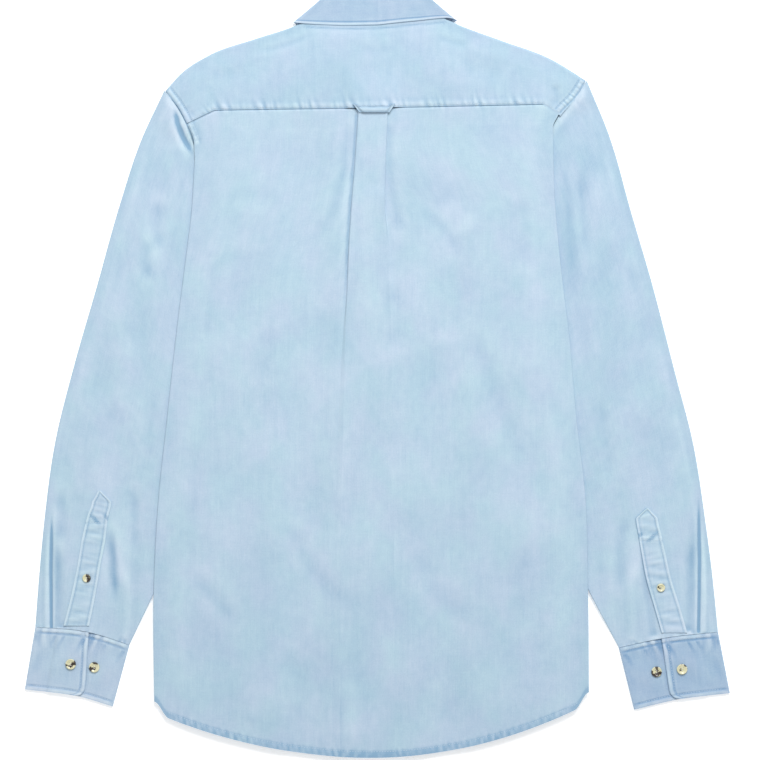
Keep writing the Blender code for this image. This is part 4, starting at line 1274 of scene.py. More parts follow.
@dataclass
class Front:
    """One front, which lies on the surface with its side tucked up under the sleeve."""

    side: Side
    lift: float  # raises the middle edge onto the other front
    cut: Cut
    overlap: float = 15.0
    side_low: float = -350.0
    hem_rise: dict[Side, float] = field(default_factory=lambda: {LEFT: 52.0, RIGHT: 62.0})

    def build(self, wardrobe: Wardrobe) -> Piece:
        """Make the panel: rows from shoulder to hem, columns from the tuck to the middle."""
        side, v = self.side, spread((0, 0.08, 12), (0.08, 1, 46))
        y_side = FRONT_ARMHOLE[side] * (1 - v) + self.side_low * v
        inset = 5.0 * smooth((LIE.tuck_start(side) + 10 - y_side) / 20)
        end, headings = TUCK.path(side, y_side, inset)
        end, headings = end * (1, -1), -headings
        middle_x = -np.concatenate([np.linspace(FRONT_NECK[0], 18, 22),
                                    np.linspace(18, -self.overlap, 12)[1:]])
        middle = np.zeros((len(v), len(middle_x), 2)) + grid(middle_x, 0 * middle_x)
        points, headings = join((end, headings), between(26), (middle, np.zeros(middle.shape[:2])))
        fold = end[:, -1:, 0]
        out = np.clip(-points[..., 0], 0, -fold)
        neck = FRONT_NECK[0]
        stretched = neck + (out - neck) * (front_end(side) - neck) / (-fold - neck)
        top = front_top(side, np.where(out > neck, stretched, out))
        tail = LIE.hem_middle + 5 + self.hem_rise[side] * (out / -fold) ** 2
        n = TUCK.columns
        tail[:, :n] += TUCK.slope * np.abs(points[:, :n, 0] - fold)
        y = top * (1 - v[:, None]) + tail * v[:, None]
        x = -side.value * points[..., 0]
        over = smooth((LIE.placket_half + 28 - np.abs(x - LIE.centre_front)) / 24)
        z = points[..., 1] + LIE.front_level(x, y) + self.lift * over + LIE.cloth / 2
        away = grid(side.value * np.sin(headings), 0 * x, np.cos(headings))
        outer, inner = offset(grid(x, y, z), -away, LIE.cloth)
        sheet = Sheet(f"front_panel_{side.word}", outer, inner, grid(girth(points), y))
        return wardrobe.sew(sheet, f"front_{side.word}", np.maximum(outer, inner))


@dataclass
class FrontPlacket:
    """The button band on the left front's face, which lies lowest, over the buttons."""

    cut: Cut = Cut(0.032, 0.712, 0.0228, Held.LAID, ("front_button_1", "front_button_7"))

    def build(self, wardrobe: Wardrobe) -> Piece:
        """Make the band as a flat strip with a stitched groove along each edge."""
        top = float(front_top(LEFT, np.array(8.0))) - 2
        y = np.linspace(top, LIE.hem_middle + 6, 180)[:, None]
        across = np.linspace(-1, 1, 21)[None, :]
        x = LIE.centre_front + LIE.placket_half * across + 0 * y
        y = y + 0 * x
        low = LIE.button_thick + LIE.gap - 0.05
        groove = 0.22 * bell((np.abs(across) - 0.72) / 0.06) + 0 * y
        upper = grid(x, y, np.full_like(x, low + LIE.cloth))
        lower = grid(x, y, low + groove)
        sheet = Sheet("front_button_band", upper, lower, grid(x, y))
        return wardrobe.sew(sheet, "front_placket")


@dataclass
class Yoke:
    """The yoke: the upper back, folded over both shoulders to its seams with the fronts."""

    seam_ends: tuple[float, float] = (-62.0, 57.0)  # across, below the two ends of the neck
    rows: tuple[int, int, int] = (62, 9, 14)  # of its back, its fold and its front
    end_slope: float = 0.62  # of the back's seam beyond its table
    front_seam: float = 0.2  # from its front edge to the fronts
    worn_and_shaded: float = -0.26  # painted shade over the whole yoke, which is of the same dye as the back
    cut: Cut = Cut(0.490, 0.166, 0.0502, Held.FOLDED,
                   ("back_panel", "front_panel_left", "front_panel_right"))

    def to_armhole(self, side: Array, x: Array, y: Array) -> Array:
        """How far out each row has to stretch at its two ends to reach the armholes."""
        left = ARMHOLE[LEFT].curve("y", "out", y[:, :1]) + x[:, :1]
        right = ARMHOLE[RIGHT].curve("y", "out", y[:, -1:]) - x[:, -1:]
        return np.where(side < 0, left, right) - LIE.seam

    def build(self, wardrobe: Wardrobe) -> Piece:
        """Make the panel: rows from the back's seam, over the shoulder and down the front."""
        ends = (SHOULDER.first("x"), SHOULDER.last("x"))
        neck = LIE.neck
        inner_left, inner_right = ends[0] + 26, ends[1] - 26
        shoulder_x = spread((ends[0], inner_left, 40), (inner_left, neck[0], 62), (*neck, 66),
                            (neck[1], inner_right, 62), (inner_right, ends[1], 40))
        at_neck = (shoulder_x > neck[0] - 1e-6) & (shoulder_x < neck[1] + 1e-6)
        knots = (ends[0], *neck, ends[1])
        seam_ends = (YOKE_SEAM.first("x"), *self.seam_ends, YOKE_SEAM.last("x"))
        seam_x = np.interp(shoulder_x, knots, seam_ends)
        seam_y = YOKE_SEAM.line("x", "y", seam_x)
        shoulder_y = SHOULDER.curve("x", "y", shoulder_x)
        side = np.where(shoulder_x < 0, -1, 1)
        low = LIE.front_level(shoulder_x, shoulder_y)
        radius = (LIE.neck_level - low) / 2
        rim = np.where(at_neck, 0.0, radius + LIE.cloth / 2)
        stretch = smooth(1 - np.minimum(shoulder_x - ends[0], ends[1] - shoulder_x) / 40)
        v = spread((0, 0.12, 8), (0.12, 1, self.rows[0] - 9))[:, None]
        x = seam_x * (1 - v) + shoulder_x * v
        y = seam_y * (1 - v) + (shoulder_y - rim) * v
        x = x + side * self.to_armhole(side, x, y) * stretch
        past = np.maximum(0, np.maximum(x[0] - YOKE_SEAM.last("x"), YOKE_SEAM.first("x") - x[0]))
        y = y + (YOKE_SEAM.line("x", "y", x[0]) - self.end_slope * past - seam_y) * (1 - v)
        relief = DRAPE.height(x, y)
        z = LIE.back_level(x, y) + LIE.pleat_hump(x, y) + LIE.cloth / 2 + relief
        angle = np.linspace(0, math.pi, self.rows[1])[1:, None]
        turned_y = y[-1] + radius * np.sin(angle)
        turned_x = x[-1] + 0 * angle
        turned_x = turned_x + side * self.to_armhole(side, turned_x, turned_y) * stretch
        drop = (z[-1] - low - LIE.cloth / 2) * (1 - np.cos(angle)) / 2
        turned = (turned_x, turned_y, z[-1] - drop)
        u = np.linspace(0, 1, self.rows[2])[1:, None]
        from_neck = np.abs(x[-1]) - np.where(side < 0, -neck[0], neck[1])
        share = np.clip(from_neck / np.where(side < 0, from_neck[0], from_neck[-1]), 0, 1)
        armhole_out = np.where(side < 0, front_end(LEFT), front_end(RIGHT))
        neck_out = FRONT_NECK[0] + 2 * LIE.seam
        front_out = neck_out + (armhole_out - neck_out) * share
        front_y = np.where(side < 0, front_top(LEFT, front_out), front_top(RIGHT, front_out))
        front_y = front_y + self.front_seam
        row_y = turned[1][-1] * (1 - u) + front_y * u
        bow = 3.0 * np.sin(math.pi * u) * (from_neck < 1)
        row_x = side * (np.abs(x[-1]) * (1 - u) + front_out * u + bow)
        row_x = row_x + side * self.to_armhole(side, row_x, row_y) * stretch
        row_z = LIE.front_level(row_x, row_y) + LIE.cloth / 2
        place = np.concatenate([np.stack(block, axis=2) for block in
                                ((x, y, z), turned, (row_x, row_y, row_z))])
        around = np.concatenate([0 * v, angle, 0 * u + math.pi]) + 0 * place[..., 0]
        way = grid(0 * around, np.sin(around), np.cos(around))
        outer, inner = offset(place, way, LIE.cloth)
        keep = np.ones((len(place) - 1, len(shoulder_x) - 1), bool)
        keep[len(v) - 1:, at_neck[:-1] & at_neck[1:]] = False
        along = girth(place.transpose(1, 0, 2)).T
        lifted = np.zeros(place.shape[:2])
        lifted[: len(v)] = relief
        # the yoke's fade is painted shade over all of it
        sheet = Sheet("yoke_panel", outer, inner, grid(place[..., 0], along), lifted,
                      0 * lifted + self.worn_and_shaded, keep=keep)
        return wardrobe.sew(sheet, "yoke", outer[: len(v)])


# Sleeves


ARMHOLE_FOLD = ((-219, 281), (-215, 259), (-210, 246), (-203, 234), (-196, 222))
CUFF_PLEAT = ((-351.5, -156), (-352.5, -220), (-352, -284))
SLEEVE_RELIEF: dict[Side, Relief] = {
    LEFT: [
        Crease(((-234, 182), (-238, 150), (-236, 120)), -1.2, 8),
        Crease(((-247, 140), (-250, 112), (-246, 88)), -1.0, 8),
        Crease(((-262, 214), (-272, 160), (-286, 110)), 0.9, 11),
        Crease(((-280, 60), (-296, 0), (-306, -50)), -0.8, 12),
        Crease(((-262, 40), (-276, -20), (-282, -60)), 0.8, 12),
        Crease(((-344, -130), (-340, -162), (-342, -196)), -1.1, 7),
        Crease(((-262, -126), (-259, -166), (-260, -206)), -1.3, 8),
        Crease(((-246, -88), (-246, -130), (-250, -178)), -1.1, 9),
        Crease(((-322, -60), (-326, -110), (-324, -150)), 0.7, 11),
        Crease(ARMHOLE_FOLD, -2.6, 3.2),
        Crease(CUFF_PLEAT, -2.2, 1.5, ease_end=NO_EASE),
        Crease(((-356.5, -170), (-358, -225), (-357.5, -284)), 1.0, 2.6, ease_end=NO_EASE),
        Crease(((-344, -190), (-344, -240), (-342, -284)), -1.1, 6, ease_end=NO_EASE),
        Crease(((-290, -170), (-286, -214), (-284, -262)), -1.6, 6),
        Crease(((-272, -210), (-268, -250), (-272, -296)), 0.8, 6, ease_end=NO_EASE),
        Gathers(Route([(-370, -283), (-312, -288.6), (-267, -302.6)]), 0.8, 7.2, 2.0, 13.0,
                seed=0.4),
        Gathers(Route([(-229, 296), (-215, 277), (-207, 262), (-198, 240), (-184, 204)]), 0.6, 7.0,
                8.0, 8.0, seed=2.2),
    ],
    RIGHT: [
        Crease(((232, 220), (244, 170), (256, 110)), 0.9, 11),
        Crease(((216, 216), (222, 168), (226, 110)), -1.2, 8),
        Crease(((272, 120), (288, 60), (296, 10)), -0.9, 12),
        Crease(((262, 30), (276, -30), (284, -76)), 0.8, 12),
        Crease(((238, -30), (246, -80), (250, -130)), -1.0, 9),
        Crease(((318, -40), (326, -90), (330, -130)), 0.7, 11),
        Crease(((346.5, -144), (347.5, -210), (346.5, -288)), -2.3, 1.5, ease_end=NO_EASE),
        Crease(((352, -160), (353.5, -220), (352.5, -288)), 1.0, 2.6, ease_end=NO_EASE),
        Crease(((338, -180), (337, -230), (335, -288)), -1.5, 6, ease_end=NO_EASE),
        Crease(((286, -186), (290, -240), (298, -292)), -1.4, 5, ease_end=NO_EASE),
        Crease(((268, -150), (262, -200), (262, -250)), -1.1, 8),
        Crease(((276, -200), (274, -250), (276, -298)), 0.7, 6, ease_end=NO_EASE),
        Gathers(Route([(368, -288), (307, -295.2), (260, -305.6)]), 0.8, 7.6, 13.0, 2.0, seed=1.9),
        Gathers(Route([(225, 307), (211, 286), (198, 272), (187, 255), (176, 220)]), 0.9, 4.6,
                8.0, 8.0, seed=0.9),
    ],
}


# Painted shade where a sleeve's cloth is folded over itself and beside the body's edge, as depths.
SLEEVE_PAINTED_SHADE: dict[Side, Relief] = {
    LEFT: [
        Crease(CUFF_PLEAT, -3.2, 1.3, ease=0.35, ease_end=NO_EASE),
        Crease(((-347, -160), (-347, -220), (-346, -284)), -0.6, 4.5, ease=0.35, ease_end=NO_EASE),
        Crease(ARMHOLE_FOLD, -2.0, 2.2),
        Crease(((-287, -172), (-283, -214), (-282, -262)), -0.9, 3.5),
        Crease(((-183, 190), (-181, 120), (-190, 20), (-203, -60)), -0.5, 4.0),
    ],
    RIGHT: [
        Crease(((346.5, -134), (347.5, -210), (346.5, -288)), -3.2, 1.3, ease=0.35,
               ease_end=NO_EASE),
        Crease(((341, -150), (341.5, -210), (340, -288)), -0.6, 4.5, ease=0.35, ease_end=NO_EASE),
        Crease(((205, 220), (207, 140), (214, 60)), -0.45, 8.0),
    ],
}


@dataclass
class Sleeve:
    """A sleeve: a flattened tube whose rings run from the armhole to the cuff.

    Ring = upper ply, inner fold, lower ply, outer fold. The upper ply is lifted by its creases
    where it isn't under the back.
    """

    side: Side
    cut: Cut
    painted_shading: tuple[float, float]  # painted light and shade at its top and its bottom, paler above 0 and darker below 0
    flat_parts: int = 116
    strength: float = 0.75  # of the creases
    wave: float = 0.28
    under: tuple[float, ...] = (7.0, 5.0, 3.0, 1.6, 0.7)  # how far its first rows go under the body
    drop: float = 1.5  # of those rows, to go under it
    length: float = 560.0

    def plan(self, s: Array, across: Array) -> tuple[Array, Array]:
        """Distance out and height of places across a sleeve, at shares of the way down it."""
        table = SLEEVE_EDGE[self.side]
        near_top = np.maximum(0.0, 1 - s / 0.3) ** 2
        near_cuff = np.maximum(0.0, (s - 0.8) / 0.2) ** 2
        places = []
        for outer, inner, edge in (("out", "inner_out", "out"), ("y", "inner_y", "y")):
            a, b = table.curve("along", outer, s), table.curve("along", inner, s)
            top = ARMHOLE[self.side].curve("along", edge, across)
            top = top - table.first(outer) - (table.first(inner) - table.first(outer)) * across
            low = CUFF_EDGE[self.side].curve("across", edge, across)
            low = low - table.last(outer) - (table.last(inner) - table.last(outer)) * across
            places.append(a + (b - a) * across + near_top * top + near_cuff * low)
        return places[0] + 2 * LIE.seam * near_top, places[1] + LIE.seam * near_cuff

    def relief(self, out: Array, y: Array, across: Array) -> Array:
        """How far waves and creases lift the upper ply, faded at its folds and under the back."""
        x = out * self.side.value
        lift = 0.5 + self.wave * (np.sin(x / 9.1 + y / 37.0) + np.sin(x / 17.3 - y / 23.0 + 1.7))
        lift = lift + self.strength * relief_height(SLEEVE_RELIEF[self.side], x, y)
        open_ = 1 - LIE.under_back(self.side, out, y)
        return lift * open_ * smooth(across / 0.08) * smooth((1 - across) / 0.08)

    def build(self, wardrobe: Wardrobe) -> Piece:
        """Make the tube."""
        side = self.side
        s = spread((0, 0.06, 14), (0.06, 0.92, 100), (0.92, 1, 22))[:, None]
        s = np.concatenate([np.zeros((len(self.under), 1)), s])
        inward = np.zeros_like(s)
        inward[: len(self.under), 0] = self.under
        ends = self.plan(s, np.array([[0.0, 1.0]]))
        width = np.hypot(ends[0][:, :1] - ends[0][:, 1:], ends[1][:, :1] - ends[1][:, 1:])
        low, top = LIE.sleeve_heights(side, *self.plan(s, np.array([[0.01, 0.99]])))
        radius = (top - low) / 2
        start, stop = radius[:, :1] / width, 1 - radius[:, 1:] / width
        flat = start + (stop - start) * np.linspace(0, 1, self.flat_parts)
        out, y = self.plan(s, flat)
        flat_low, flat_top = LIE.sleeve_heights(side, out, y)
        hidden = smooth(inward / 1.2 + 0.35 * (s < 1e-9)) * smooth(flat / 0.1)
        lift = self.relief(out, y, flat) * (1 - hidden) - self.drop * hidden
        bend = np.radians(np.linspace(75, -75, 6))[None, :]
        middle = (flat_top + flat_low) / 2
        faces = []
        for moved in (0.0, LIE.cloth):
            reach = radius - moved
            bulge = reach / width
            across = np.concatenate([flat, stop + bulge[:, 1:] * np.cos(bend), flat[:, ::-1],
                                     start - bulge[:, :1] * np.cos(bend)], axis=1)
            folds = (middle[:, -1:] + reach[:, 1:] * np.sin(bend),
                     middle[:, :1] - reach[:, :1] * np.sin(bend))
            z = np.concatenate([flat_top - moved + lift, folds[0],
                                flat_low[:, ::-1] + moved, folds[1]], axis=1)
            out, y = self.plan(s, across)
            upper = np.zeros_like(across) + 0.05
            upper[:, : flat.shape[1]] += 0.95 * smooth(flat / 0.1) * smooth((1 - flat) / 0.05)
            out = out - inward * upper * 0.82
            y = y - inward * upper * 0.5
            faces.append(grid(side.value * out, y, z))
        lifted = np.pad(lift, ((0, 0), (0, faces[0].shape[1] - lift.shape[1])))
        length = s * self.length + 0 * faces[0][..., 0]
        # painted light and shade down the sleeve, and painted shade along its folds and beside the
        # body's edge
        fade = self.painted_shading[0] + (self.painted_shading[1] - self.painted_shading[0]) * length / self.length
        n = self.flat_parts
        fade[:, :n] += relief_height(SLEEVE_PAINTED_SHADE[side], faces[0][:, :n, 0], faces[0][:, :n, 1])
        sheet = Sheet(f"sleeve_panel_{side.word}", *faces, grid(girth(faces[0]), length), lifted,
                      fade, ring=True)
        return wardrobe.sew(sheet, f"sleeve_{side.word}", faces[0])


@dataclass
class Cuff:
    """A buttoned cuff: one band round the wrist, its rounded upper end lapping the under end."""

    side: Side
    lap: tuple[float, float]  # share across where the upper end stops, at its top and its bottom
    cut: Cut
    painted_shading: float  # painted light and shade over the whole cuff, paler above 0 and darker below 0
    cloth: float = 1.5
    width: float = 100.0
    deep: float = 68.0
    corner: float = 12.0
    under_end: float = 0.30
    step: tuple[float, float] = (0.215, 0.27)  # share across where the lap rises off the under end
    edge_bead: float = 0.35
    stitch_line: float = 5.4  # in from each edge
    pucker: float = 0.5
    columns: tuple[int, int, int] = (50, 40, 44)  # of the under end, the ply below and the lap

    @property
    def under(self) -> float:
        """Height of the middle of the ply below the overlap."""
        return self.cloth * 1.5 + LIE.gap

    @property
    def upper(self) -> float:
        """Height of the middle of the overlapping end."""
        return self.cloth * 2.5 + 2 * LIE.gap

    def plan(self, across: Array, down: Array) -> tuple[Array, Array]:
        """Distance out and height of places on the cuff."""
        out, y, low_out, low_y = (CUFF_EDGE[self.side].curve("across", name, across)
                                  for name in ("out", "y", "low_out", "low_y"))
        return out * (1 - down) + low_out * down, y * (1 - down) + low_y * down

    def edge(self, inwards: Array) -> Array:
        """Height of a piped edge and the stitched groove inside it, by the distance inwards."""
        bead = self.edge_bead * bell((inwards - 2.2) / 1.9)
        return bead - 0.5 * bell((inwards - self.stitch_line) / 1.0)

    def relief(self, across: Array, down: Array) -> Array:
        """The edges, puckers that fade down from the seam, and a slow swell."""
        from_edge = np.minimum(down, 1 - down) * self.deep
        bead = self.edge(from_edge)
        x = across * self.width
        t = x + 3.0 * np.sin(down * 9.0 + x / 13.0)
        wave = np.sin(math.tau * t / 12.1 + 1.6 * np.sin(x / 11.0))
        wave = wave + 0.8 * np.sin(math.tau * t / 20.3 + 2.0)
        wave = wave * (0.6 + 0.4 * np.sin(x / 8.7 + 1.0))
        swell = 0.45 * np.sin(x / 12.0 + down * 3.1) * np.sin(math.pi * down)
        swell = swell * np.sin(x / 21.0 + down * 7.0)
        return bead + self.pucker * wave * np.exp(-((down * self.deep / 17.0) ** 2)) + swell

    def fade(self, across: Array, down: Array, end: Array) -> Array:
        """Pale doubled edges, a deeper line along their stitches, and painted shadow by the lap.

        Args:
            across, down: places on the cuff.
            end: distance in from the overlap's end, below 0 off the overlapping ply.
        """
        near_seam = np.exp(-((down * self.deep / 15.0) ** 2))
        from_edge = np.minimum(down, 1 - down) * self.deep
        from_edge = np.minimum(from_edge, np.where(end > 0, end, np.inf))
        patch = 0.6 + 0.4 * np.sin(across * 31.0 + down * 4.0) * np.sin(across * 13.0 - down * 9.0)
        blot = np.sin(across * 43.0 + 9.0 * down) * np.sin(across * 17.0 + 5.0 * down + 1.0)
        blot = 1.5 * smooth((blot - 0.25) / 0.3) * near_seam * smooth((down * self.deep - 6) / 3)
        beside = (end < 0) * (across > self.lap[0])
        # painted shadow on the under end, just beyond the overlap's end
        shaded = 1.5 * smooth((0.10 - across + self.lap[0]) / 0.06) * near_seam * beside
        line = 0.6 * bell((from_edge - self.stitch_line) / 1.2)
        return 1.1 * bell((from_edge - 1.4) / 1.3) * patch - line - blot - shaded

    def build(self, wardrobe: Wardrobe) -> Piece:
        """Make the band: rows from the sleeve's seam to the lower edge, columns round the wrist."""
        down = spread((0, 0.16, 12), (0.16, 0.82, 22), (0.82, 1, 20))[:, None]
        radius = (self.under - self.cloth / 2) / 2
        rim = (radius + self.cloth / 2) / self.width
        middle = (self.under + self.cloth / 2) / 2
        into_corner = np.maximum(0.0, down * self.deep - (self.deep - self.corner))
        lap = self.lap[0] * (1 - down) + self.lap[1] * down
        arc = np.sqrt(np.maximum(self.corner**2 - into_corner**2, 0))
        lap = lap - (self.corner - arc) / self.width
        bend = np.radians(np.linspace(75, -75, 6))
        n_under, n_low, n_lap = self.columns
        shares = np.linspace(0, 1, n_lap)
        under = np.linspace(self.under_end, 1 - rim, n_under)
        flat = np.linspace(1 - rim, rim, n_low)
        steps = spread((rim, self.step[0], 8), (*self.step, 8))[:-1]
        fixed = np.concatenate([under, 1 - rim + radius / self.width * np.cos(bend), flat,
                                rim - radius / self.width * np.cos(bend), steps])
        lapped = self.step[1] + (lap - self.step[1]) * shares
        across = np.concatenate([fixed + 0 * down, lapped], axis=1)
        climb = smooth((steps - self.step[0]) / (self.step[1] - self.step[0]))
        rise = self.under + (self.upper - self.under) * climb
        bulge = radius * np.sin(bend)
        height = np.concatenate([np.full(n_under, self.under), middle + bulge,
                                 np.full(n_low, self.cloth / 2), middle - bulge, rise,
                                 np.full(n_lap, self.upper)])
        z = height + 0 * across
        way = np.gradient(grid(across * self.width, z), axis=1)
        way /= np.linalg.norm(way, axis=2)[..., None]
        end_bead = (lap - across) * self.width
        top = np.zeros(across.shape[1])
        top[:n_under] = top[-n_lap - len(steps):] = 1
        lift = self.relief(across, down) * top
        lift[:, -n_lap:] += self.edge(end_bead[:, -n_lap:])
        fade_fold = smooth((1 - rim - across) / 0.06) * smooth((across - rim) / 0.05)
        lift = np.maximum(lift, -0.3) * fade_fold
        lift[:, :n_under] *= smooth((across[:, :n_under] - lap) / 0.05)
        faces = []
        for moved in (self.cloth / 2, -self.cloth / 2):
            out, y = self.plan(across - way[..., 1] * moved / self.width, down)
            faces.append(grid(self.side.value * out, y, z + way[..., 0] * moved + lift))
        uv = grid(girth(faces[0]), down * self.deep + 0 * across)
        end_bead[:, :-n_lap] = -1
        # painted light and shade over the cuff, then its worn edges, blots and painted shadow
        fade = self.painted_shading + self.fade(across, down + 0 * across, end_bead) * top
        sheet = Sheet(f"cuff_band_{self.side.word}", *faces, uv, lift, fade)
        return wardrobe.sew(sheet, f"cuff_{self.side.word}", faces[0], doubled=True)


@dataclass
class SleevePlacket:
    """The pointed placket that is sewn on a sleeve above its cuff."""

    side: Side
    cut: Cut

    def build(self, wardrobe: Wardrobe) -> Piece:
        """Make the strip, with raised edges, a cross seam below its point and cross puckers."""
        table = PLACKET_EDGE[self.side]
        share = np.linspace(0, 1, 90)[:, None] ** 1.2
        y = table.first("y") + (table.last("y") - table.first("y")) * share
        across = np.linspace(-1, 1, 23)[None, :]
        half = table.line("y", "half", y)
        out = table.curve("y", "out", y) + half * across
        y = y + 0 * out
        low = TOP.height(self.side.value * out, y)
        low = blurred(low, 2) * 0.6 + low.max(axis=1, keepdims=True) * 0.4 + 0.1
        from_edge = (1 - np.abs(across)) * half
        edge = 0.45 * bell((from_edge - 1.3) / 1.3) - 0.35 * bell((from_edge - 3.4) / 0.9)
        box = table.first("y") - PLACKET_BOX[0] - y
        seams = bell(box / 0.9) + bell((box - PLACKET_BOX[1] + PLACKET_BOX[0]) / 0.9)
        cross = bell((box + across * 2.5 - 2.5) / 0.7) + bell((box - across * 2.5 - 2.5) / 0.7)
        cross = cross * (np.abs(across) < 0.8)
        uneven = 0.55 + 0.45 * np.sin(y / 7.0 + 2.0 * across) * np.sin(y / 17.0)
        knots = smooth((np.sin(across * 5.0 + box / 2.3) - 0.2) / 0.5) * bell((box - 1.5) / 5.5)
        t = y + 1.6 * across + 2.2 * np.sin(y / 9.0)
        ripple = 0.26 * np.sin(math.tau * t / 13.7) * np.sin(y / 15.0 + 1.0) * (1 - across**2)
        fine = np.sin(math.tau * (y - 3 * across) / 6.3) * np.sin(y / 9.0)
        ripple = ripple + 0.16 * fine * (1 - across**2)
        lift = edge - 0.4 * seams + ripple
        fade = (1.1 * bell((from_edge - 1.2) / 1.1) - 0.4 * bell((from_edge - 3.4) / 1.0)) * uneven
        fade = fade + 0.4 * seams + 0.4 * cross - 2.2 * knots
        # painted shadow along the right placket's edge towards the body
        if self.side is RIGHT:
            fade = fade - 2.4 * bell(from_edge / 0.8) * (across < 0)
        x = self.side.value * out
        outer = grid(x, y, low + LIE.cloth + lift)
        inner = grid(x, y, low + 0.4 * lift)
        sheet = Sheet(f"placket_strip_{self.side.word}", outer, inner, grid(x, y), lift, fade)
        return wardrobe.sew(sheet, f"sleeve_placket_{self.side.word}", outer)


# The collar and the loop


@dataclass
class Collar:
    """The stand that rises from the neck's seam, and the leaf that folds over it."""

    leaf_cut: Cut = Cut(0.379, 0.067, 0.0153, Held.FOLDED, ("yoke_panel",))
    stand_cut: Cut = Cut(0.380, 0.036, 0.0095, Held.FOLDED, ("yoke_panel",))
    button_lift: float = 1.5
    depth: float = 42.0  # of the stand, and of the leaf from its fold

    def ring(self, side: Side, lower: str, upper: str, rise: Array,
             round_: Array) -> tuple[Array, ...]:
        """Places round the collar between two of its edges, and the way out of it, for each row."""
        table = COLLAR_EDGE[side]
        out, y = (table.curve("round", f"{lower}_{k}", round_) * (1 - rise)
                  + table.curve("round", f"{upper}_{k}", round_) * rise for k in ("out", "y"))
        angle = math.pi / 2 - math.pi * np.clip((round_ - 0.42) / 0.16, 0, 1)
        low, high = LIE.pitch + LIE.cloth / 2, LIE.neck_level + LIE.cloth / 2
        half = (high - low) / 2
        return out, y, low + half + half * np.sin(angle) + 0 * out, np.cos(angle), np.sin(angle)

    @staticmethod
    def both(left: Array, right: Array) -> Array:
        """Join the left half's columns, turned round, to the right half's."""
        return np.concatenate([left[:, ::-1], right[:, 1:]], axis=1)

    def stand_face(self, offset_: float, rise: Array, round_: Array) -> Array:
        """One face of the stand, as rows from the neck's seam to its fold."""
        halves = []
        for side in Side:
            out, y, z, to_side, up = self.ring(side, "neck", "fold", rise, round_)
            out = np.maximum(out + offset_ * to_side, np.where(round_ > 0.9, LIE.seam / 2, 0))
            lift = self.button_lift * smooth((round_ - 0.82) / 0.12)
            halves.append(grid(side.value * out, y - 3 * rise, z + offset_ * up + lift))
        return self.both(*halves)

    def leaf_face(self, offset_: float, rows: Array, round_: Array) -> tuple[Array, Array]:
        """One face of the leaf, as rows over its fold and down to its edge, and its relief."""
        turn, fall, back_off = (rows[:, k : k + 1] for k in range(3))
        halves, lifts = [], []
        for side in Side:
            out, y, z, to_side, up = self.ring(side, "fold", "leaf", fall, round_)
            from_edge = (1 - fall) * self.depth
            bead = 0.35 * bell((from_edge - 1.6) / 1.3) - 0.45 * bell((from_edge - 3.6) / 0.8)
            swell = 0.06 * np.sin(round_ * 61.0 + side.value) * np.sin(fall * 2.6)
            lift = (bead + swell) * smooth(fall / 0.2) * np.ones_like(out)
            if offset_ > 0:
                lift = 0.3 * lift
            radial = LIE.pitch / 2 * (1 - np.cos(turn)) - offset_ * np.cos(turn) + lift
            out = np.maximum(out + radial * to_side, np.where(round_ > 0.9, LIE.seam / 2, 0))
            y = y - (1 - fall) * (LIE.pitch + LIE.cloth) / 2
            y = y + (LIE.pitch / 2 + offset_) * np.sin(turn) - back_off
            halves.append(grid(side.value * out, y, z + radial * up))
            lifts.append(lift)
        return self.both(*halves), self.both(*lifts)

    def build(self, wardrobe: Wardrobe) -> list[Piece]:
        """Make the stand and the leaf."""
        round_ = spread((0, 0.4, 40), (0.4, 0.6, 30), (0.6, 1, 40))[None, :]
        rise = np.linspace(0, 1, 10)[:, None]
        half = LIE.cloth / 2
        faces = [self.stand_face(moved, rise, round_) for moved in (half, -half)]
        sheet = Sheet("collar_stand_band", *faces, grid(girth(faces[0]), rise * self.depth))
        stand = wardrobe.sew(sheet, "collar_stand", doubled=True)
        turn = np.concatenate([[0.0, 0.0], np.linspace(0, math.pi, 10)[1:], np.full(26, math.pi)])
        fall = np.concatenate([np.zeros(11), spread((0, 0.8, 12), (0.8, 1, 14))[1:]])
        back_off = np.concatenate([[1.4], np.zeros(36)])
        rows = grid(turn, fall, back_off)
        (outer, _), (inner, lift) = (self.leaf_face(moved, rows, round_) for moved in (half, -half))
        uv = grid((turn * 0.7 + fall * 45)[:, None], inner[..., 0])
        edge = ((1 - fall) * self.depth)[:, None] + 0 * lift
        # a pale worn edge, a deeper line at its stitches, and painted shade over the whole leaf
        fade = 0.9 * bell((edge - 1.2) / 1.1) - 0.5 * bell((edge - 3.8) / 1.1) - 0.3
        sheet = Sheet("collar_leaf_panel", inner, outer, uv, lift, fade)
        return [stand, wardrobe.sew(sheet, "collar_leaf", inner, doubled=True)]


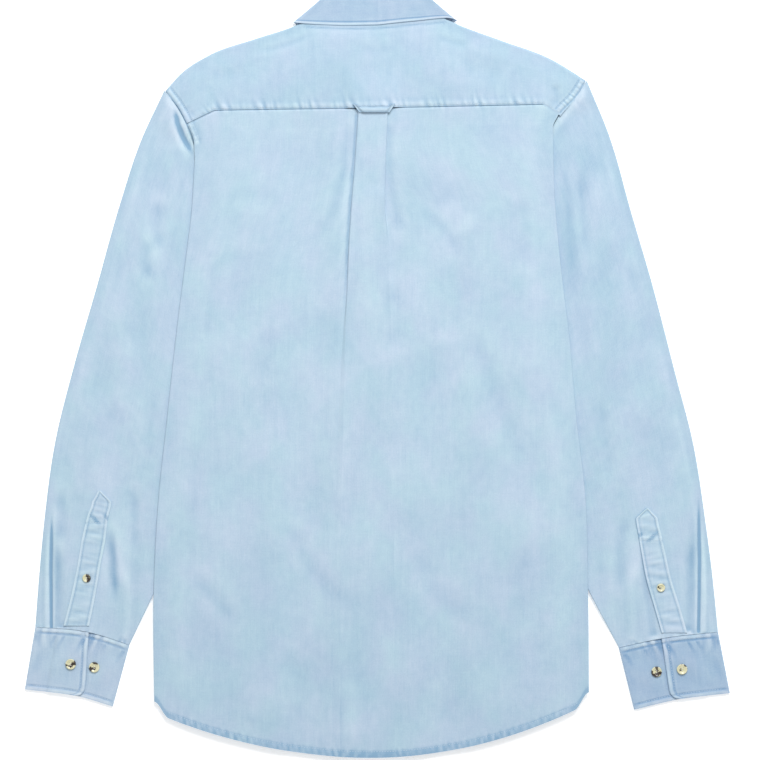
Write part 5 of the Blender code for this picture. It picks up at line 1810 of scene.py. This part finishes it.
@dataclass
class LockerLoop:
    """The hanging loop, a folded strip whose two ends go into the yoke's seam over the pleat."""

    top: tuple[float, float, float] = (-26.5, 19.0, 281.0)  # left end, right end, height
    low: tuple[float, float, float] = (-19.4, 13.0, 271.8)
    thick: float = 1.4
    cut: Cut = Cut(0.046, 0.0116, 0.00034, Held.LAID, ("back_panel", "yoke_panel"))

    def build(self, wardrobe: Wardrobe) -> Piece:
        """Make the strip: stitched down at its ends, standing a little in its middle."""
        share = np.linspace(0, 1, 48)[None, :]
        down = np.linspace(0, 1, 13)[:, None]
        left, right, y = (self.top[k] * (1 - down) + self.low[k] * down for k in range(3))
        x = left * (1 - share) + right * share
        pulled = smooth((share - 0.03) / 0.13) * smooth((0.97 - share) / 0.13)
        sag = 3.6 * pulled + 0.3 * np.sin(share * 17.0)
        y = y - sag * (1 - down) + 0 * x
        ends = bell((np.minimum(share, 1 - share) - 0.03) / 0.05)
        stand = 1.3 * pulled + 0.9 * np.sin(math.pi * down) * pulled - 0.5 * ends
        low = LIE.edge_level + LIE.cloth + 2 * LIE.pitch + LIE.gap + 0.15 + DRAPE.loft
        upper = grid(x, y, low + self.thick + stand)
        lower = grid(x, y, low + 0.5 * stand - 0.2 * ends)
        # painted light along the loop's middle, and painted shade towards its edges and over all of
        # it
        fade = 1.1 * bell((down - 0.5) / 0.26) - 0.7 + 0 * x
        sheet = Sheet("hanging_loop", upper, lower, grid(y, x), fade=fade)
        return wardrobe.sew(sheet, "locker_loop", upper)


# Buttons and stitches


def capsules(start: Array, middle: Array, end: Array, radius: float) -> tuple[Array, Array]:
    """Short arched threads, each a five-sided tube through three places with pointed ends.

    Args:
        start, middle, end: places, as rows of three.
        radius: the thread's radius.

    Returns:
        The vertices and the faces of all of them together.
    """
    count, sides = len(start), 5
    run = end - start
    run = run / np.linalg.norm(run, axis=1)[:, None]
    across = grid(-run[:, 1], run[:, 0], 0 * run[:, 0])
    across /= np.linalg.norm(across, axis=1)[:, None]
    up = np.cross(run, across)
    turn = np.linspace(0, math.tau, sides, endpoint=False)
    ring = across[:, None] * np.cos(turn)[:, None] + up[:, None] * np.sin(turn)[:, None]
    stations = ((start * 0.9 + middle * 0.1, 0.75), (middle, 1.0), (end * 0.9 + middle * 0.1, 0.75))
    rings = [place[:, None] + ring * radius * share for place, share in stations]
    vertices = np.concatenate([start[:, None], *rings, end[:, None]], axis=1)
    k = np.arange(sides)
    n = (k + 1) % sides
    last = 1 + 3 * sides
    tips = [grid(0, 1 + n, 1 + k), grid(last, last - sides + k, last - sides + n)]
    quads = [grid(a + k, a + n, a + sides + n, a + sides + k) for a in (1, 1 + sides)]
    quads = np.concatenate(quads)
    faces = np.concatenate([*tips, quads[:, (0, 1, 2)], quads[:, (0, 2, 3)]])
    per = vertices.shape[1]
    faces = faces[None] + (np.arange(count) * per)[:, None, None]
    return vertices.reshape(-1, 3), faces.reshape(-1, 3)


@dataclass(frozen=True)
class ButtonSize:
    """A four-hole button's sizes."""

    across: float
    thick: float
    hole_ring: float = 1.5  # from the middle to each hole
    hole: float = 0.55


@dataclass
class Button:
    """A sewn four-hole button: a turned disc with a rounded rim round a shallow dish.

    Height over a polar grid = the rim's profile at each radius - a bell at each hole.
    """

    node: str
    size: ButtonSize
    face_up: bool = True
    sides: int = 40

    def build(self, wardrobe: Wardrobe) -> list[Piece]:
        """Make the disc where the frame's own button is, and its thread."""
        low, high = (np.array(corner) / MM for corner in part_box(self.node))
        centre = (low + high) / 2 - (ORIGIN.x / MM, ORIGIN.y / MM, 0)
        base, sign = (low[2], 1) if self.face_up else (high[2], -1)
        r, thick = self.size.across / 2, self.size.thick
        dish = ((0.0, 0.75), (0.6, 0.75), (1.0, 0.75), (1.4, 0.75), (1.8, 0.74), (2.3, 0.72))
        rim = ((2.1, 0.65), (1.6, 0.3), (1.1, 0.05), (0.7, 0), (0.3, 0.2), (0.05, 0.6), (0, 1.0))
        under = ((r - 0.15, 0.4), (r - 0.6, 0.05), (r - 1.6, 0.0), (0.0, 0.0))
        profile = np.array([*((a, thick - down) for a, down in dish),
                            *((r - a, thick - down) for a, down in rim), *under])
        turn = np.linspace(0, math.tau, self.sides, endpoint=False)[None, :]
        x, y = profile[:, :1] * np.cos(turn), profile[:, :1] * np.sin(turn)
        z = profile[:, 1:] + 0 * x
        hole = self.size.hole_ring * math.sqrt(0.5)
        for hx, hy in ((hole, hole), (-hole, hole), (-hole, -hole), (hole, -hole)):
            dent = np.exp(-(((x - hx) ** 2 + (y - hy) ** 2) / self.size.hole**2) ** 2)
            z[:7] -= (dent * 0.9)[:7]
        places = grid(centre[0] + x, centre[1] + y * sign, base + sign * z).reshape(-1, 3)
        rings, sides = x.shape
        r_, c = np.mgrid[1 : rings - 2, 0:sides].reshape(2, -1)
        n = (c + 1) % sides
        quads = grid(r_ * sides + c, r_ * sides + n, (r_ + 1) * sides + n, (r_ + 1) * sides + c)
        k = np.arange(sides)
        top_cap = grid(0 * k, sides + k, sides + (k + 1) % sides)
        last = (rings - 1) * sides
        low_cap = grid(last + 0 * k, (rings - 2) * sides + (k + 1) % sides, (rings - 2) * sides + k)
        faces = np.concatenate([quads[:, (0, 1, 2)], quads[:, (0, 2, 3)], top_cap, low_cap])
        used, compact = np.unique(faces, return_inverse=True)
        disc = new_object(f"{self.node}_disc", places[used], compact.reshape(faces.shape))
        wardrobe.dress(disc, wardrobe.horn, Slot.HORN, self.node)
        bars = np.array([[-hole, hole], [-hole, -hole]])
        top = base + sign * (thick - 0.55)
        start = grid(centre[0] + bars[:, 0], centre[1] + bars[:, 1], [top - sign * 0.5] * 2)
        end = start + (2 * hole, 0, 0)
        middle = (start + end) / 2 + (0, 0, sign * 0.85)
        thread = new_object(f"{self.node}_thread", *capsules(start, middle, end, 0.33))
        wardrobe.dress(thread, wardrobe.button_thread, Slot.TRIM)
        return [disc, thread]


@dataclass
class Stitching:
    """Rows of lockstitch on the upper cloth, each a short thread that dips in at its ends."""

    length: float = 2.2
    pitch: float = 2.9
    radius: float = 0.21

    def row(self, route: Route) -> tuple[Array, Array, Array]:
        """Starts, middles and ends of one row's stitches, laid on the surface below them."""
        at = np.arange(self.pitch, route.length - self.length, self.pitch)
        places = [route.at(at + self.length * share)[0] for share in (0, 0.5, 1)]
        lift = (-0.18, 0.14, -0.18)
        return tuple(np.column_stack([p, TOP.height(p[:, 0], p[:, 1]) + rise])
                     for p, rise in zip(places, lift))

    def build(self, name: str, routes: list[Route], wardrobe: Wardrobe) -> Piece:
        """Make the rows as one joined piece."""
        rows = [self.row(route) for route in routes]
        start, middle, end = (np.concatenate([row[k] for row in rows]) for k in range(3))
        piece = new_object(name, *capsules(start, middle, end, self.radius))
        return wardrobe.dress(piece, wardrobe.thread, Slot.TRIM)


def body_routes() -> list[Route]:
    """The yoke's topstitch, the hem's, and the armholes' on the body side."""
    left, right = (np.array(side.value * SIDE_EDGE[side].last("out")) for side in Side)
    x = np.linspace(left + 12.5, right - 12, 120)
    hem = Route(grid(x, hem_height(x, left, right) + 6.4))
    armholes = [armhole_route(side, ARMHOLE_STITCH) for side in Side]
    return [SEAM_LINE.moved(TOPSTITCH), hem, *armholes]


def sleeve_routes(side: Side, cuff: Cuff) -> list[Route]:
    """The cuff's stitches inside its edges, and the placket's round its edge and across its box."""
    routes = []
    down = np.linspace(0.085, 0.915, 24)
    lap = cuff.lap[0] * (1 - down) + cuff.lap[1] * down - 0.055
    across = np.linspace(0.05, 0.95, 60)
    for a, d in ((across, 0 * across + 0.05), (across, 0 * across + 0.92), (lap, down)):
        out, y = cuff.plan(a, d)
        routes.append(Route(grid(side.value * out, y)))
    table = PLACKET_EDGE[side]
    y = np.linspace(table.first("y") - 2.5, table.last("y") + 1, 40)
    out, half = table.curve("y", "out", y), table.line("y", "half", y)
    for hand in (-1, 1):
        routes.append(Route(grid(side.value * (out + hand * np.maximum(half - 2.6, 0.4)), y)))
    for lower in PLACKET_BOX:
        y_box = table.first("y") - lower
        out_box = float(table.curve("y", "out", np.array(y_box)))
        span = np.array([-9.0, 9.0])
        routes.append(Route(grid(side.value * (out_box + span), y_box + 0 * span)))
    return routes


# The studio


@dataclass(frozen=True)
class Studio:
    """A pale floor, a soft light from beyond the right shoulder, and a camera straight above."""

    middle: tuple[float, float] = (0.00285, -0.01028)
    across: float = 0.821  # width of the view on the floor
    height: float = 3.0
    key_place: tuple[float, float, float] = (0.45, 2.2, 2.8)
    key_power: float = 93.0
    key_size: float = 1.4
    world: float = 0.62
    floor_half: float = 3.0
    floor_level: float = -0.0004
    floor_glow: float = 0.34

    def build(self) -> None:
        """Make the floor, the light and the camera."""
        signs = ((-1, -1), (1, -1), (1, 1), (-1, 1))
        corners = [(a * self.floor_half, b * self.floor_half, self.floor_level) for a, b in signs]
        data = bpy.data.meshes.new("floor")
        data.from_pydata(corners, [], [(0, 1, 2, 3)])
        floor = bpy.data.objects.new("floor", data)
        bpy.context.collection.objects.link(floor)
        n = Nodes("white_floor")
        n.look({"Base Color": (0.93, 0.93, 0.93, 1.0), "Roughness": 0.95,
                "Emission Color": WHITE, "Emission Strength": self.floor_glow})
        data.materials.append(n.material)
        world = bpy.data.worlds.new("studio")
        world.use_nodes = True
        sky = world.node_tree.nodes["Background"].inputs
        sky["Color"].default_value, sky["Strength"].default_value = WHITE, self.world
        bpy.context.scene.world = world
        lamp = bpy.data.lights.new("key", "AREA")
        lamp.energy, lamp.size = self.key_power, self.key_size
        key = bpy.data.objects.new("key", lamp)
        key.location = self.key_place
        aim = np.array((*self.middle, 0.0)) - np.array(self.key_place)
        key.rotation_euler = (math.acos(-aim[2] / np.linalg.norm(aim)), 0.0,
                              math.atan2(aim[1], aim[0]) - math.pi / 2)
        bpy.context.collection.objects.link(key)
        lens = bpy.data.cameras.new("above")
        lens.sensor_width = 36.0
        lens.lens = lens.sensor_width * self.height / self.across
        camera = bpy.data.objects.new("above", lens)
        camera.location = (*self.middle, self.height)
        bpy.context.collection.objects.link(camera)
        bpy.context.scene.camera = camera
        bpy.context.scene.view_settings.view_transform = "Standard"


def main() -> None:
    """Build the shirt from the fronts upwards, sew it, and set the light and the camera."""
    logging.basicConfig(level=logging.INFO, format="%(name)s: %(message)s")
    wardrobe = Wardrobe()
    Studio().build()
    FrontPlacket().build(wardrobe)
    Front(LEFT, 0.0, Cut(0.331, 0.752, 0.196, Held.LAID, ("front_button_band",))).build(wardrobe)
    right_front = Cut(0.308, 0.752, 0.186, Held.LAID, ("front_panel_left",))
    Front(RIGHT, LIE.pitch, right_front).build(wardrobe)
    left_cuff = Cut(0.237, 0.070, 0.0160, Held.FOLDED, ("floor",))
    right_cuff = Cut(0.247, 0.070, 0.0166, Held.FOLDED, ("floor",))
    # each cuff's and sleeve's last numbers are painted light and shade: paler above 0, darker below
    cuffs = {LEFT: Cuff(LEFT, (0.565, 0.655), left_cuff, painted_shading=0.15),
             RIGHT: Cuff(RIGHT, (0.569, 0.623), right_cuff, painted_shading=-0.5)}
    left_sleeve = Cut(0.489, 0.598, 0.1615, Held.LAID, ("front_panel_left",))
    right_sleeve = Cut(0.493, 0.614, 0.1658, Held.LAID, ("front_panel_right",))
    Sleeve(LEFT, left_sleeve, painted_shading=(-0.14, 0.0)).build(wardrobe)
    Sleeve(RIGHT, right_sleeve, painted_shading=(-0.38, -0.05)).build(wardrobe)
    TOP.fill()
    for side, length, area in ((LEFT, 0.150, 0.0036), (RIGHT, 0.140, 0.0034)):
        cut = Cut(0.028, length, area, Held.LAID, (f"sleeve_panel_{side.word}",))
        SleevePlacket(side, cut).build(wardrobe)
    Back().build(wardrobe)
    Yoke().build(wardrobe)
    Collar().build(wardrobe)
    for side, cuff in cuffs.items():
        cuff.build(wardrobe)
    LockerLoop().build(wardrobe)
    TOP.fill()
    stitching = Stitching()
    stitching.build("body_stitches", body_routes(), wardrobe)
    for side, cuff in cuffs.items():
        stitching.build(f"sleeve_stitches_{side.word}", sleeve_routes(side, cuff), wardrobe)
    large, small = ButtonSize(11.4, 2.2), ButtonSize(9.0, 2.0, 1.25, 0.45)
    for side in Side:
        for number in (1, 2):
            Button(f"cuff_button_{side.word}_{number}", large).build(wardrobe)
        Button(f"placket_button_{side.word}", small).build(wardrobe)
    Button("stand_button", large, face_up=False).build(wardrobe)
    for number in range(1, 8):
        Button(f"front_button_{number}", large, face_up=False).build(wardrobe)


if __name__ == "__main__":
    main()
